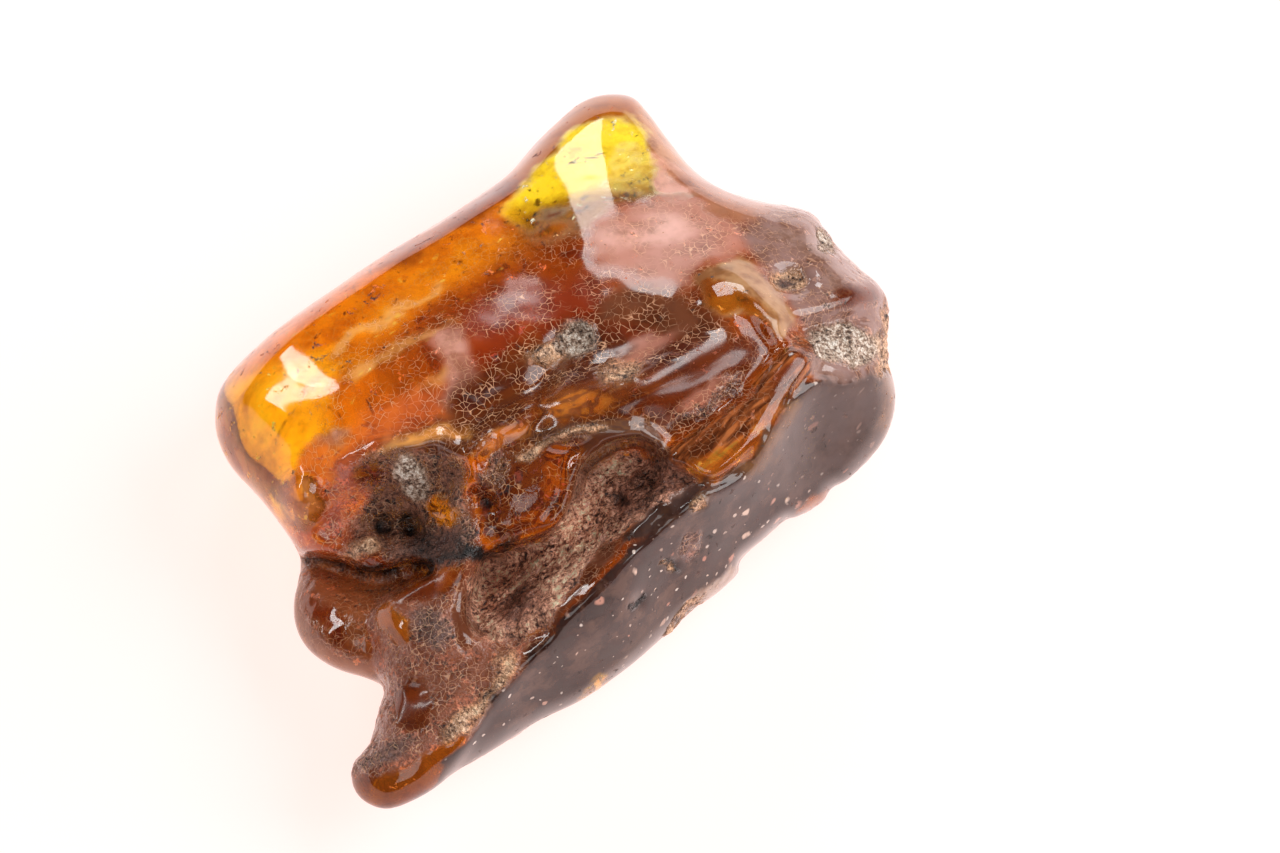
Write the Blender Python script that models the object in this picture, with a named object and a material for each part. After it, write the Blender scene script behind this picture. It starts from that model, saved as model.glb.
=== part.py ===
"""A lump of raw Baltic amber, tumbled and part polished, resting on a small flat spot.

The stone is one solid. Its upper side is drawn as a map: places on it are pixels of the photograph,
and heights are millimetres above the surface that it rests on. Resin that ran over older resin is a
flow with an outline, heights and a rounded edge of its own, and the flows are merged.
"""

import math

import bmesh
import bpy
import numpy as np
from mathutils import Vector, noise

MM = 0.001

# Size and place of the map. A point of the stone is at the map centre where the line of sight through
# the photograph's middle meets it, and a millimetre across that line is so many pixels there.
PIXELS_PER_MM = 12.0
FACE_TILT = math.radians(60.0)
SIGHT_DISTANCE_MM = 400.0
MAP_CENTRE_PX = np.array((640.0, 426.5))
MAP_CENTRE_MM = np.array((7.16, -0.70, 11.0))
MAP_CORNERS_PX = ((180.0, 60.0), (930.0, 840.0))
MAP_STEP_PX = 2.0

# The slab that becomes the stone, and the mesh of the finished solid
SLAB_STEP_PX = 5.0
SLAB_MARGIN_MM = 0.15
SKIN_STEP_MM = 0.55
SETTLE_ROUNDS = 3
SETTLE_MOST_MM = 0.3
SLOPE_STEP_MM = 0.05
LEAST_SLOPE = 0.05
NEXT_TO_ZERO = 1e-9
SMOOTH_SHARE = 0.5
SMOOTH_ROUNDS = 2
SOLID_TRIANGLES = 9000

# Where flows meet, their surfaces melt into each other over this height
MELT_MM = 1.0
RIM_MELT_MM = 0.7
UNDER_ALL_MM = -50.0

# How often each map value is averaged with its neighbours: the crown, and the size of its edge
CROWN_BLURS = 6
EDGE_BLURS = 12

# The underside: a flat spot, a belly that rises away from it, and the rounded edge below the rim
SPOT_PX = (556.0, 500.0)
BELLY_REACH_PX = (245.0, 235.0)
SPOT_SHARE = 0.3
BELLY_RISE_MM = 2.6
UNDER_REACH_MM = 6.0
UNDER_EDGE_MM = 5.5

# The rounded edge above the rim: how far down it reaches, and the least and most it may be rounded
TOP_EDGE_MM = 7.0
LEAST_EDGE_MM = 0.5
ROUNDING_RANGE_MM = (1.0, 7.0)

# Outline of the whole stone on the map, clockwise from the peak
OUTLINE_PX = [
    (612, 92), (634, 96), (651, 114), (669, 139), (692, 167), (722, 187), (758, 199), (792, 205),
    (814, 213), (826, 228), (842, 250), (862, 270), (880, 286), (889, 305), (888, 335), (891, 366),
    (897, 396), (893, 424), (879, 451), (851, 480), (833, 490), (824, 503), (799, 517), (785, 522),
    (763, 543), (743, 561), (739, 577), (716, 597), (690, 612), (668, 634), (640, 660), (612, 682),
    (582, 702), (540, 722), (500, 748), (460, 773), (427, 797), (390, 812), (364, 805), (350, 787),
    (351, 763), (368, 741), (376, 712), (383, 690), (367, 681), (335, 671), (309, 655), (294, 632),
    (290, 604), (296, 570), (295, 552), (282, 530), (258, 500), (231, 470), (217, 442), (214, 415),
    (220, 388), (244, 358), (282, 324), (332, 289), (382, 256), (432, 226), (475, 197), (508, 173),
    (537, 140), (567, 111), (589, 97),
]

# How broadly the upper edge is rounded, in millimetres, at places round the outline
ROUNDING_SLACK = 0.5
ROUNDING_MM = [
    (230, 420, 2.2), (330, 300, 1.6), (470, 210, 1.6), (600, 110, 2.2), (700, 180, 1.7),
    (810, 220, 1.8), (880, 300, 1.8), (893, 400, 2.0), (820, 500, 1.2), (700, 600, 1.2),
    (560, 705, 1.2), (430, 785, 2.2), (370, 790, 2.6), (372, 720, 2.2), (300, 630, 3.0),
    (292, 560, 2.2), (240, 480, 2.0), (550, 450, 1.8),
]

# The lower body, which shows below the upper flow and between it and the cut face
LOWER_BODY_MM = [
    (300, 585, 7.0), (298, 625, 7.5), (335, 600, 9.6), (340, 640, 9.2), (375, 660, 8.6),
    (392, 605, 9.2), (345, 572, 5.5), (420, 578, 5.0), (470, 578, 6.5), (505, 570, 8.0),
    (545, 552, 12.5), (520, 610, 14.2), (495, 640, 13.6), (560, 605, 16.9), (600, 540, 16.4),
    (600, 490, 16.2), (640, 480, 17.8), (690, 484, 19.2), (620, 560, 18.3), (665, 514, 19.3),
    (590, 585, 17.6), (700, 492, 19.6), (540, 635, 15.6),
    (470, 470, 9.0), (600, 380, 11.0), (380, 430, 8.0), (700, 280, 11.0), (820, 320, 9.0),
    (560, 680, 8.0), (700, 560, 9.0), (820, 450, 9.0), (420, 720, 6.0), (380, 780, 4.0),
]

UPPER_FLOW_PX = [
    (180, 380), (240, 300), (400, 180), (560, 60), (660, 60), (760, 150), (860, 190), (940, 290),
    (930, 376), (888, 377), (850, 384), (818, 382), (798, 396), (776, 424), (750, 460), (724, 477),
    (700, 479), (682, 474), (667, 466), (656, 450), (640, 442), (618, 445), (600, 453), (585, 468),
    (578, 490), (573, 510), (557, 529), (540, 541), (515, 548), (492, 556), (470, 565), (448, 572),
    (425, 566), (405, 563), (390, 570), (370, 572), (348, 563), (322, 557), (296, 554), (240, 560),
]
UPPER_FLOW_MM = [
    (228, 425, 12.6), (252, 470, 11.8), (277, 512, 11.4), (262, 400, 16.0), (300, 430, 17.4),
    (300, 380, 17.8), (345, 340, 18.6), (350, 400, 19.4), (290, 500, 13.2), (330, 480, 16.4),
    (420, 280, 18.5), (500, 220, 18.1), (560, 170, 17.2), (610, 125, 15.8), (640, 135, 15.2),
    (420, 340, 20.1), (500, 290, 20.0), (570, 240, 19.3), (610, 190, 18.2), (400, 420, 19.8),
    (480, 370, 20.7), (560, 320, 20.8), (640, 260, 19.9), (680, 200, 17.9), (740, 225, 18.0),
    (800, 235, 16.4), (700, 270, 20.2), (770, 275, 19.3), (830, 270, 17.2), (870, 300, 14.8),
    (560, 400, 21.2), (640, 350, 21.7), (720, 330, 21.4), (790, 320, 20.0), (850, 340, 17.6),
    (885, 350, 14.5), (640, 420, 21.3), (720, 400, 21.3), (780, 370, 20.8), (690, 455, 20.4),
    (740, 440, 20.7), (430, 470, 18.2), (500, 450, 19.6), (560, 470, 19.2), (350, 530, 14.2),
    (410, 545, 15.2), (470, 545, 16.6), (530, 535, 16.8),
]

CUT_FACE_PX = [
    (930, 374), (888, 375), (850, 380), (820, 376), (805, 384), (786, 405), (766, 436), (747, 464),
    (722, 483), (700, 492), (676, 512), (650, 534), (620, 560), (590, 590), (562, 620), (540, 645),
    (515, 672), (490, 701), (466, 735), (447, 764), (432, 786), (420, 830), (700, 830), (940, 560),
]
CUT_FACE_MM = [
    (818, 382, 20.4), (852, 384, 17.6), (885, 380, 14.4), (762, 447, 20.9), (716, 488, 20.5),
    (660, 528, 19.6), (604, 580, 18.2), (552, 636, 16.0), (502, 692, 13.4), (464, 742, 10.6),
    (436, 785, 7.8), (897, 400, 11.6), (890, 430, 9.0), (862, 472, 7.0), (820, 503, 6.4),
    (762, 548, 6.2), (720, 592, 5.9), (660, 645, 5.5), (600, 692, 5.5), (540, 722, 6.2),
    (480, 758, 7.2), (810, 440, 14.0), (700, 550, 13.0), (600, 645, 11.2), (520, 705, 9.8),
]

SPUR_FLOW_PX = [
    (470, 552), (480, 570), (474, 590), (468, 606), (474, 628), (492, 640), (520, 640), (552, 640),
    (500, 700), (450, 780), (420, 830), (330, 830), (330, 760), (362, 738), (376, 700), (381, 682),
    (380, 655), (372, 632), (374, 612), (386, 597), (410, 582), (440, 566),
]
SPUR_FLOW_MM = [
    (394, 605, 12.6), (430, 584, 14.2), (466, 562, 16.4), (466, 600, 15.2), (430, 640, 14.2),
    (398, 650, 12.2), (480, 652, 14.4), (525, 652, 14.9), (398, 700, 11.4), (440, 700, 12.8),
    (482, 700, 13.0), (378, 750, 10.2), (420, 750, 11.2), (372, 785, 8.8), (400, 785, 9.6),
    (440, 770, 9.8),
]

CURTAIN_FLOW_PX = [
    (806, 346), (780, 352), (762, 372), (750, 392), (728, 410), (700, 428), (668, 450), (684, 468),
    (712, 482), (742, 464), (766, 436), (786, 404), (806, 378), (816, 362),
]
CURTAIN_FLOW_MM = [
    (806, 352, 21.0), (766, 380, 22.2), (790, 375, 21.6), (735, 415, 22.0), (760, 425, 21.4),
    (690, 448, 21.6), (716, 470, 21.0),
]

UNDER_LIP_PX = [
    (835, 470), (860, 500), (820, 530), (785, 540), (765, 570), (740, 620), (690, 650), (650, 640),
    (720, 560), (790, 500),
]
UNDER_LIP_MM = [(815, 505, 4.6), (740, 570, 4.4), (700, 605, 3.8), (660, 630, 3.6), (780, 500, 5.0)]

# A flow is its outline, its heights and how broadly its free edge is rounded, in millimetres
FLOWS = [
    (UPPER_FLOW_PX, UPPER_FLOW_MM, 1.6),
    (CUT_FACE_PX, CUT_FACE_MM, 0.6),
    (SPUR_FLOW_PX, SPUR_FLOW_MM, 1.4),
    (CURTAIN_FLOW_PX, CURTAIN_FLOW_MM, 0.9),
    (UNDER_LIP_PX, UNDER_LIP_MM, 0.8),
]

# Ridges and grooves along a line: the line, how wide and how high, in millimetres
CREASES = [
    ([(467, 566), (463, 540), (460, 515), (457, 498), (466, 484), (476, 478), (471, 460), (480, 444)],
     0.9, 1.5),
    ([(480, 444), (492, 430), (512, 420), (540, 404)], 0.9, 0.7),
    ([(556, 528), (570, 508), (575, 490), (580, 467), (598, 451), (620, 442), (642, 439), (655, 450),
      (668, 468)], 0.8, 1.6),
    ([(540, 432), (580, 434), (618, 429), (642, 427), (656, 440)], 0.8, 0.9),
    ([(352, 468), (382, 452), (412, 446), (438, 438), (456, 450)], 0.8, 1.1),
    ([(392, 592), (420, 578), (446, 566), (468, 558)], 0.7, 0.9),
    ([(468, 558), (473, 574), (466, 600)], 0.7, 1.0),
    ([(660, 508), (638, 528), (620, 545)], 0.8, 0.5),
    ([(756, 338), (770, 352), (752, 378), (730, 398)], 1.2, -0.8),
    ([(702, 424), (670, 444), (650, 428)], 1.2, -0.7),
    ([(792, 332), (822, 326), (846, 323), (868, 312), (892, 296)], 0.9, -1.5),
    ([(420, 690), (455, 672), (486, 650), (520, 640), (545, 628)], 1.0, -0.8),
    ([(560, 356), (540, 392), (537, 428)], 1.0, -0.8),
    ([(480, 412), (520, 392), (556, 366), (610, 340), (650, 322)], 1.3, -0.7),
]

# Lobes and pits: centre, half length, half width, turn in degrees, and height in millimetres
LOBES = [
    (728, 292, 32, 26, 0, 1.3),
    (588, 232, 80, 40, 74, 0.45),
    (770, 318, 42, 12, 52, 0.9),
    (300, 498, 22, 15, 80, 1.6),
    (862, 296, 26, 15, -10, 1.5),
    (600, 400, 62, 26, -18, 1.3),
    (690, 372, 70, 24, -32, 1.2),
    (455, 345, 70, 30, -30, 0.5),
    (525, 490, 34, 30, -40, 0.9),
    (440, 512, 16, 13, 0, 1.2),
    (400, 626, 18, 12, 60, 0.8),
    (330, 610, 26, 20, 0, -0.8),
    (398, 515, 62, 38, -8, -2.8),
    (385, 525, 9, 8, 0, -2.0),
    (411, 526, 10, 9, 0, -2.0),
    (365, 548, 14, 10, 0, 1.4),
    (412, 482, 20, 16, 60, 1.3),
    (572, 342, 22, 14, -20, -0.8),
    (630, 352, 40, 14, -30, -0.7),
    (792, 281, 19, 12, 15, -1.5),
    (824, 240, 11, 8, 50, -1.3),
    (848, 346, 40, 16, 8, -0.9),
    (612, 505, 60, 34, -38, -1.0),
    (618, 501, 6, 6, 0, -1.6),
    (488, 503, 6, 6, 0, -1.6),
    (672, 565, 5, 4, 0, -0.8),
    (640, 600, 7, 4, -60, -0.9),
]

# Lumps all over the skin: size and height in millimetres. The side that the map shows keeps a small
# share of them. Skin that faces away from it more than LUMPY_FACING has all of them. They fade out
# towards the flat spot.
LUMP_SIZE_MM = 9.0
LUMP_MM = 0.9
SMALL_LUMP_SIZE_MM = 3.2
SMALL_LUMP_MM = 0.35
MAPPED_SHARE = 0.15
LUMPY_FACING = -0.6
NO_LUMPS_BELOW_MM = 0.6
FULL_LUMPS_ABOVE_MM = 2.6

# What is lower than this is pressed onto the table
PRESSED_MM = 0.15

LOOK = np.array((0.0, math.cos(FACE_TILT), -math.sin(FACE_TILT)))
RIGHT = np.array((1.0, 0.0, 0.0))
UP = np.array((0.0, math.sin(FACE_TILT), math.cos(FACE_TILT)))
EYE_MM = MAP_CENTRE_MM - LOOK * SIGHT_DISTANCE_MM
EYE_SCALE = PIXELS_PER_MM * SIGHT_DISTANCE_MM


def on_map(points):
    """Where points of the stone, in millimetres, are on the map, in pixels."""
    away = points - EYE_MM
    depth = away @ LOOK
    across = MAP_CENTRE_PX[0] + EYE_SCALE * (away @ RIGHT) / depth
    down = MAP_CENTRE_PX[1] - EYE_SCALE * (away @ UP) / depth
    return across, down


def at_height(place, height):
    """The point of the stone at a place on the map and a height above the table, in millimetres."""
    across, down = (np.array(place) - MAP_CENTRE_PX) / EYE_SCALE
    ray = LOOK + RIGHT * across - UP * down
    return EYE_MM + ray * (height - EYE_MM[2]) / ray[2]


def map_grid():
    (left, top), (right, bottom) = MAP_CORNERS_PX
    return np.meshgrid(
        np.arange(left, right, MAP_STEP_PX), np.arange(top, bottom, MAP_STEP_PX)
    )


GRID_X, GRID_Y = map_grid()


def read_map(values, across, down):
    """A map's values at places between its grid points."""
    column = np.clip((across - GRID_X[0, 0]) / MAP_STEP_PX, 0, GRID_X.shape[1] - 1.001)
    row = np.clip((down - GRID_Y[0, 0]) / MAP_STEP_PX, 0, GRID_X.shape[0] - 1.001)
    i, j = row.astype(int), column.astype(int)
    v, u = row - i, column - j
    upper = values[i, j] * (1 - u) + values[i, j + 1] * u
    lower = values[i + 1, j] * (1 - u) + values[i + 1, j + 1] * u
    return upper * (1 - v) + lower * v


def smooth_loop(points, parts=4):
    """A closed curve through the points, as a finer list of points."""
    p = np.array(points, float)
    before, after, later = np.roll(p, 1, 0), np.roll(p, -1, 0), np.roll(p, -2, 0)
    fine = []
    for t in np.arange(parts) / parts:
        fine.append(
            0.5
            * (
                2 * p
                + (after - before) * t
                + (2 * before - 5 * p + 4 * after - later) * t**2
                + (3 * p - before - 3 * after + later) * t**3
            )
        )
    return np.stack(fine, 1).reshape(-1, 2)


def distance_to(line, closed=False):
    """Millimetres from each place on the map to a line."""
    line = np.array(line, float)
    ends = np.roll(line, -1, 0) if closed else line[1:]
    nearest = np.full(GRID_X.shape, 1e9)
    for (ax, ay), (bx, by) in zip(line, ends):
        dx, dy = bx - ax, by - ay
        along = ((GRID_X - ax) * dx + (GRID_Y - ay) * dy) / (dx * dx + dy * dy)
        along = np.clip(along, 0, 1)
        gap = np.hypot(GRID_X - ax - along * dx, GRID_Y - ay - along * dy)
        nearest = np.minimum(nearest, gap)
    return nearest / PIXELS_PER_MM


def depth_inside(outline):
    """Millimetres inside an outline, negative outside it."""
    loop = smooth_loop(outline)
    inside = np.zeros(GRID_X.shape, bool)
    for (ax, ay), (bx, by) in zip(loop, np.roll(loop, -1, 0)):
        if ay == by:
            continue
        spans = (ay > GRID_Y) != (by > GRID_Y)
        inside ^= spans & (GRID_X < ax + (GRID_Y - ay) * (bx - ax) / (by - ay))
    return np.where(inside, 1, -1) * distance_to(loop, closed=True)


def plate_kernel(squared):
    return squared * np.log(squared + NEXT_TO_ZERO)


def bent_plate(heights, slack=0.0):
    """A map of a thin plate bent through the listed places and heights, or near them with slack."""
    known = np.array(heights, float)
    xy, z = known[:, :2] / 100, known[:, 2]
    gaps = ((xy[:, None] - xy[None]) ** 2).sum(2)
    flat = np.hstack([np.ones((len(xy), 1)), xy])
    system = np.block(
        [
            [plate_kernel(gaps) + slack * np.eye(len(xy)), flat],
            [flat.T, np.zeros((3, 3))],
        ]
    )
    weights = np.linalg.solve(system, np.concatenate([z, np.zeros(3)]))
    gx, gy = GRID_X / 100, GRID_Y / 100
    plate = weights[-3] + weights[-2] * gx + weights[-1] * gy
    for (x, y), weight in zip(xy, weights):
        plate += weight * plate_kernel((gx - x) ** 2 + (gy - y) ** 2)
    return plate


def lobe(x, y, half_length, half_width, turn, height):
    """A round-topped lobe, or a pit where the height is negative."""
    c, s = math.cos(math.radians(turn)), math.sin(math.radians(turn))
    along = ((GRID_X - x) * c + (GRID_Y - y) * s) / half_length
    side = (-(GRID_X - x) * s + (GRID_Y - y) * c) / half_width
    return height * np.exp(-((along**2 + side**2) ** 1.5) * 0.7)


def relief():
    """What the creases, lobes and pits add to the height, in millimetres."""
    total = np.zeros(GRID_X.shape)
    for line, width, height in CREASES:
        total += height * np.exp(-((distance_to(line) / width) ** 2))
    for shape in LOBES:
        total += lobe(*shape)
    return total


def blurred(values, rounds):
    for _ in range(rounds):
        padded = np.pad(values, 1, mode="edge")
        values = (padded[:-2, 1:-1] + padded[2:, 1:-1] + padded[1:-1, :-2] + padded[1:-1, 2:]) / 4
    return values


def belly():
    """Height of the underside over the table."""
    away = np.hypot(
        (GRID_X - SPOT_PX[0]) / BELLY_REACH_PX[0], (GRID_Y - SPOT_PX[1]) / BELLY_REACH_PX[1]
    )
    return BELLY_RISE_MM * np.maximum(0, away - SPOT_SHARE) ** 2


def quarter_round(plan):
    """How far a rounded edge has dropped, as a share of its radius: none at 0, all at 1."""
    return 1 - np.sqrt(1 - np.clip(plan, 0, 1) ** 2)


def crown():
    """Height of the upper side over the table, with every flow on it and no outer edge."""
    added = relief()
    height = bent_plate(LOWER_BODY_MM)
    for outline, heights, edge in FLOWS:
        depth = depth_inside(outline)
        flow = bent_plate(heights) - edge * quarter_round(1 - depth / edge)
        height = -melted(-height, -np.where(depth > 0, flow, UNDER_ALL_MM), MELT_MM)
    return blurred(height + added, CROWN_BLURS)


class Stone:
    """The maps of the stone, and from them how far a point is outside its skin."""

    def __init__(self):
        self.rim = depth_inside(OUTLINE_PX)
        self.under = belly()
        self.crown = crown()
        thickness = blurred(self.crown, EDGE_BLURS) - self.under
        half = np.maximum(thickness / 2, LEAST_EDGE_MM)
        self.rounding = np.clip(bent_plate(ROUNDING_MM, ROUNDING_SLACK), *ROUNDING_RANGE_MM)
        self.top_edge = np.minimum(TOP_EDGE_MM, half)
        self.under_edge = np.minimum(UNDER_EDGE_MM, half)

    def heights(self):
        """Height of the skin over the table at each place on the map, on top and below."""
        top = self.crown - self.top_edge * quarter_round(1 - self.rim / self.rounding)
        below = self.under + self.under_edge * quarter_round(1 - self.rim / UNDER_REACH_MM)
        return top, below

    def outside(self, points):
        """Rough distance of points from the skin, in millimetres, negative inside the stone."""
        x, y = on_map(points)
        rim = read_map(self.rim, x, y)
        tall = read_map(self.top_edge, x, y)
        rise = 1 + (points[:, 2] - read_map(self.crown, x, y)) / tall
        above = rounded_corner(1 - rim / read_map(self.rounding, x, y), rise) * tall
        tall = read_map(self.under_edge, x, y)
        rise = 1 + (read_map(self.under, x, y) - points[:, 2]) / tall
        below = rounded_corner(1 - rim / UNDER_REACH_MM, rise) * tall
        return -melted(-above, -below, RIM_MELT_MM)


def rounded_corner(plan, rise):
    """How far outside a quarter-round edge a place is, as a share of the edge's own size."""
    round_part = np.hypot(np.maximum(plan, 0), np.maximum(rise, 0))
    return round_part + np.minimum(np.maximum(plan, rise), 0) - 1


def melted(a, b, reach):
    """The lesser of two distances, with the corner between them rounded."""
    mix = np.maximum(reach - np.abs(a - b), 0) / reach
    return np.minimum(a, b) - mix * mix * reach / 4


def read_points(mesh):
    points = np.empty(len(mesh.vertices) * 3)
    mesh.vertices.foreach_get("co", points)
    return points.reshape(-1, 3)


def write_points(mesh, points):
    mesh.vertices.foreach_set("co", points.ravel())
    mesh.update()


def steepest(stone, points):
    """How the distance from the skin changes along each axis."""
    change = [
        stone.outside(points + SLOPE_STEP_MM * axis) - stone.outside(points - SLOPE_STEP_MM * axis)
        for axis in np.eye(3)
    ]
    return np.stack(change, 1) / (2 * SLOPE_STEP_MM)


def settle(obj, stone):
    """Moves each vertex towards the skin, along the way that the distance falls fastest."""
    points = read_points(obj.data)
    for _ in range(SETTLE_ROUNDS):
        slope = steepest(stone, points)
        square = np.maximum((slope**2).sum(1), LEAST_SLOPE)
        move = -(stone.outside(points) / square)[:, None] * slope
        length = np.linalg.norm(move, axis=1, keepdims=True)
        points = points + move * np.minimum(1, SETTLE_MOST_MM / np.maximum(length, NEXT_TO_ZERO))
    write_points(obj.data, points)


def apply_modifier(obj, kind, **settings):
    modifier = obj.modifiers.new(kind.title(), kind)
    for name, value in settings.items():
        setattr(modifier, name, value)
    bpy.context.view_layer.objects.active = obj
    bpy.ops.object.modifier_apply(modifier=modifier.name)


def slab(stone):
    """A slab over the map, cut to the outline, its two sides bent to the stone's heights."""
    (left, top), (right, bottom) = MAP_CORNERS_PX
    across, down = int((right - left) / SLAB_STEP_PX), int((bottom - top) / SLAB_STEP_PX)
    bm = bmesh.new()
    bmesh.ops.create_grid(bm, x_segments=across, y_segments=down, size=0.5)
    bmesh.ops.scale(bm, verts=bm.verts, vec=(right - left, bottom - top, 1))
    bmesh.ops.translate(bm, verts=bm.verts, vec=((left + right) / 2, (top + bottom) / 2, 0))
    off_map = [v for v in bm.verts if read_map(stone.rim, *np.array(v.co[:2])) < SLAB_MARGIN_MM]
    bmesh.ops.delete(bm, geom=off_map, context="VERTS")
    lower = list(bm.verts)
    upper = bmesh.ops.extrude_face_region(bm, geom=bm.faces[:])["geom"]
    upper = [v for v in upper if isinstance(v, bmesh.types.BMVert)]
    for verts, height in zip((upper, lower), stone.heights()):
        for v in verts:
            v.co = at_height(v.co[:2], read_map(height, *np.array(v.co[:2])))
    bmesh.ops.recalc_face_normals(bm, faces=bm.faces)
    mesh = bpy.data.meshes.new("amber_stone")
    bm.to_mesh(mesh)
    bm.free()
    obj = bpy.data.objects.new("amber_stone", mesh)
    bpy.context.scene.collection.objects.link(obj)
    return obj


def add_lumps(obj):
    """Natural unevenness along the normals, least on the side that the map shows."""
    mesh = obj.data
    points = read_points(mesh)
    normals = np.empty(len(mesh.vertices) * 3)
    mesh.vertices.foreach_get("normal", normals)
    normals = normals.reshape(-1, 3)
    mapped = np.clip(1 - normals @ -LOOK / LUMPY_FACING, 0, 1)
    fade = (points[:, 2] - NO_LUMPS_BELOW_MM) / (FULL_LUMPS_ABOVE_MM - NO_LUMPS_BELOW_MM)
    amount = (1 - (1 - MAPPED_SHARE) * mapped) * np.clip(fade, 0, 1)
    lumps = [
        LUMP_MM * noise.noise(p / LUMP_SIZE_MM) + SMALL_LUMP_MM * noise.noise(p / SMALL_LUMP_SIZE_MM)
        for p in map(Vector, points)
    ]
    write_points(mesh, points + normals * (np.array(lumps) * amount)[:, None])


def press_flat(obj):
    """The flat spot: what is next to the table is pressed onto it."""
    points = read_points(obj.data)
    points[points[:, 2] < PRESSED_MM, 2] = 0
    write_points(obj.data, points)


def amber_material():
    material = bpy.data.materials.new("clear_amber")
    material.use_nodes = True
    shader = material.node_tree.nodes["Principled BSDF"]
    shader.inputs["Base Color"].default_value = (0.42, 0.13, 0.02, 1)
    shader.inputs["Roughness"].default_value = 0.12
    shader.inputs["Metallic"].default_value = 0
    shader.inputs["IOR"].default_value = 1.54
    return material


def main():
    for old in list(bpy.data.objects):
        bpy.data.objects.remove(old)
    stone = Stone()
    obj = slab(stone)
    apply_modifier(obj, "REMESH", mode="VOXEL", voxel_size=SKIN_STEP_MM)
    settle(obj, stone)
    apply_modifier(obj, "SMOOTH", factor=SMOOTH_SHARE, iterations=SMOOTH_ROUNDS)
    settle(obj, stone)
    add_lumps(obj)
    apply_modifier(obj, "TRIANGULATE")
    apply_modifier(obj, "DECIMATE", ratio=min(1, SOLID_TRIANGLES / len(obj.data.polygons)))
    press_flat(obj)
    write_points(obj.data, read_points(obj.data) * MM)
    obj.data.materials.append(amber_material())
    obj.data.shade_smooth()


main()
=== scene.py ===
"""Looks of a lump of raw Baltic amber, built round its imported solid.

The stone's skin is remade finer than the solid, from the same map of the upper side, the same rounded
rim and the same underside, and the crust gets its grain. Finishes are painted on the map in zones, and
one material reads them.
"""

import math

import bpy
import numpy as np
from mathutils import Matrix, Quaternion, Vector, noise


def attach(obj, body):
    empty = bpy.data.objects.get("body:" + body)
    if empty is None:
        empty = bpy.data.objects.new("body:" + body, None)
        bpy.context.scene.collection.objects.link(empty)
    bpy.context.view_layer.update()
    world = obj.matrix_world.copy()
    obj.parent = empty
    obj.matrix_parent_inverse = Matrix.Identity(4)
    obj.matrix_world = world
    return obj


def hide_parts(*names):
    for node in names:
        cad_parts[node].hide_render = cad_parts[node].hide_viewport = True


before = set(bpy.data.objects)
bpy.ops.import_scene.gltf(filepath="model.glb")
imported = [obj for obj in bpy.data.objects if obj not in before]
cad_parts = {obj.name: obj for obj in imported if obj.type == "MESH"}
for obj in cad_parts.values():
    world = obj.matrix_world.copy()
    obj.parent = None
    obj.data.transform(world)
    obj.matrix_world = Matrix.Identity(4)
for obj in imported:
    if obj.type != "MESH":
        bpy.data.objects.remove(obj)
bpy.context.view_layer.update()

MM = 0.001

# Where the noise of the grains and of the zones' borders starts, so that every run gives the same stone
NOISE_SEED = 7

# The map shows the upper side as the photograph does, in the photograph's pixels. Its centre is the
# photograph's middle, which shows the point MAP_CENTRE_MM, where a millimetre is so many pixels wide.
PIXELS_PER_MM = 12.0
FACE_TILT = math.radians(60.0)
SIGHT_DISTANCE_MM = 400.0
MAP_CENTRE_PX = np.array((640.0, 426.5))
MAP_CENTRE_MM = np.array((7.16, -0.70, 11.0))
MAP_CORNERS_PX = ((180.0, 60.0), (930.0, 840.0))
MAP_STEP_PX = 2.0

# The mesh of the skin, and how it settles onto the shape
SKIN_STEP_MM = 0.32
SETTLE_ROUNDS = 3
SETTLE_MOST_MM = 0.3
SLOPE_STEP_MM = 0.05
LEAST_SLOPE = 0.05
NEXT_TO_ZERO = 1e-9
JUST_OVER_ONE = 1.001
WELD_M = 0.000001
SMOOTH_SHARE = 0.5
SMOOTH_ROUNDS = 2

# Where flows meet, their surfaces melt into each other over this height
MELT_MM = 1.0
RIM_MELT_MM = 0.7
UNDER_ALL_MM = -50.0

# How often each map value is averaged with its neighbours: the crown, and the size of its edge
CROWN_BLURS = 6
EDGE_BLURS = 12

# The underside: a flat spot, a belly that rises away from it, and the rounded edge below the rim
SPOT_PX = (556.0, 500.0)
BELLY_REACH_PX = (245.0, 235.0)
SPOT_SHARE = 0.3
BELLY_RISE_MM = 2.6
UNDER_REACH_MM = 6.0
UNDER_EDGE_MM = 5.5

# The rounded edge above the rim: how far down it reaches, and the least and most it may be rounded
TOP_EDGE_MM = 7.0
LEAST_EDGE_MM = 0.5
ROUNDING_RANGE_MM = (1.0, 7.0)

# Outline of the whole stone on the map, clockwise from the peak
OUTLINE_PX = [
    (612, 92), (634, 96), (651, 114), (669, 139), (692, 167), (722, 187), (758, 199), (792, 205),
    (814, 213), (826, 228), (842, 250), (862, 270), (880, 286), (889, 305), (888, 335), (891, 366),
    (897, 396), (893, 424), (879, 451), (851, 480), (833, 490), (824, 503), (799, 517), (785, 522),
    (763, 543), (743, 561), (739, 577), (716, 597), (690, 612), (668, 634), (640, 660), (612, 682),
    (582, 702), (540, 722), (500, 748), (460, 773), (427, 797), (390, 812), (364, 805), (350, 787),
    (351, 763), (368, 741), (376, 712), (383, 690), (367, 681), (335, 671), (309, 655), (294, 632),
    (290, 604), (296, 570), (295, 552), (282, 530), (258, 500), (231, 470), (217, 442), (214, 415),
    (220, 388), (244, 358), (282, 324), (332, 289), (382, 256), (432, 226), (475, 197), (508, 173),
    (537, 140), (567, 111), (589, 97),
]

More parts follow.
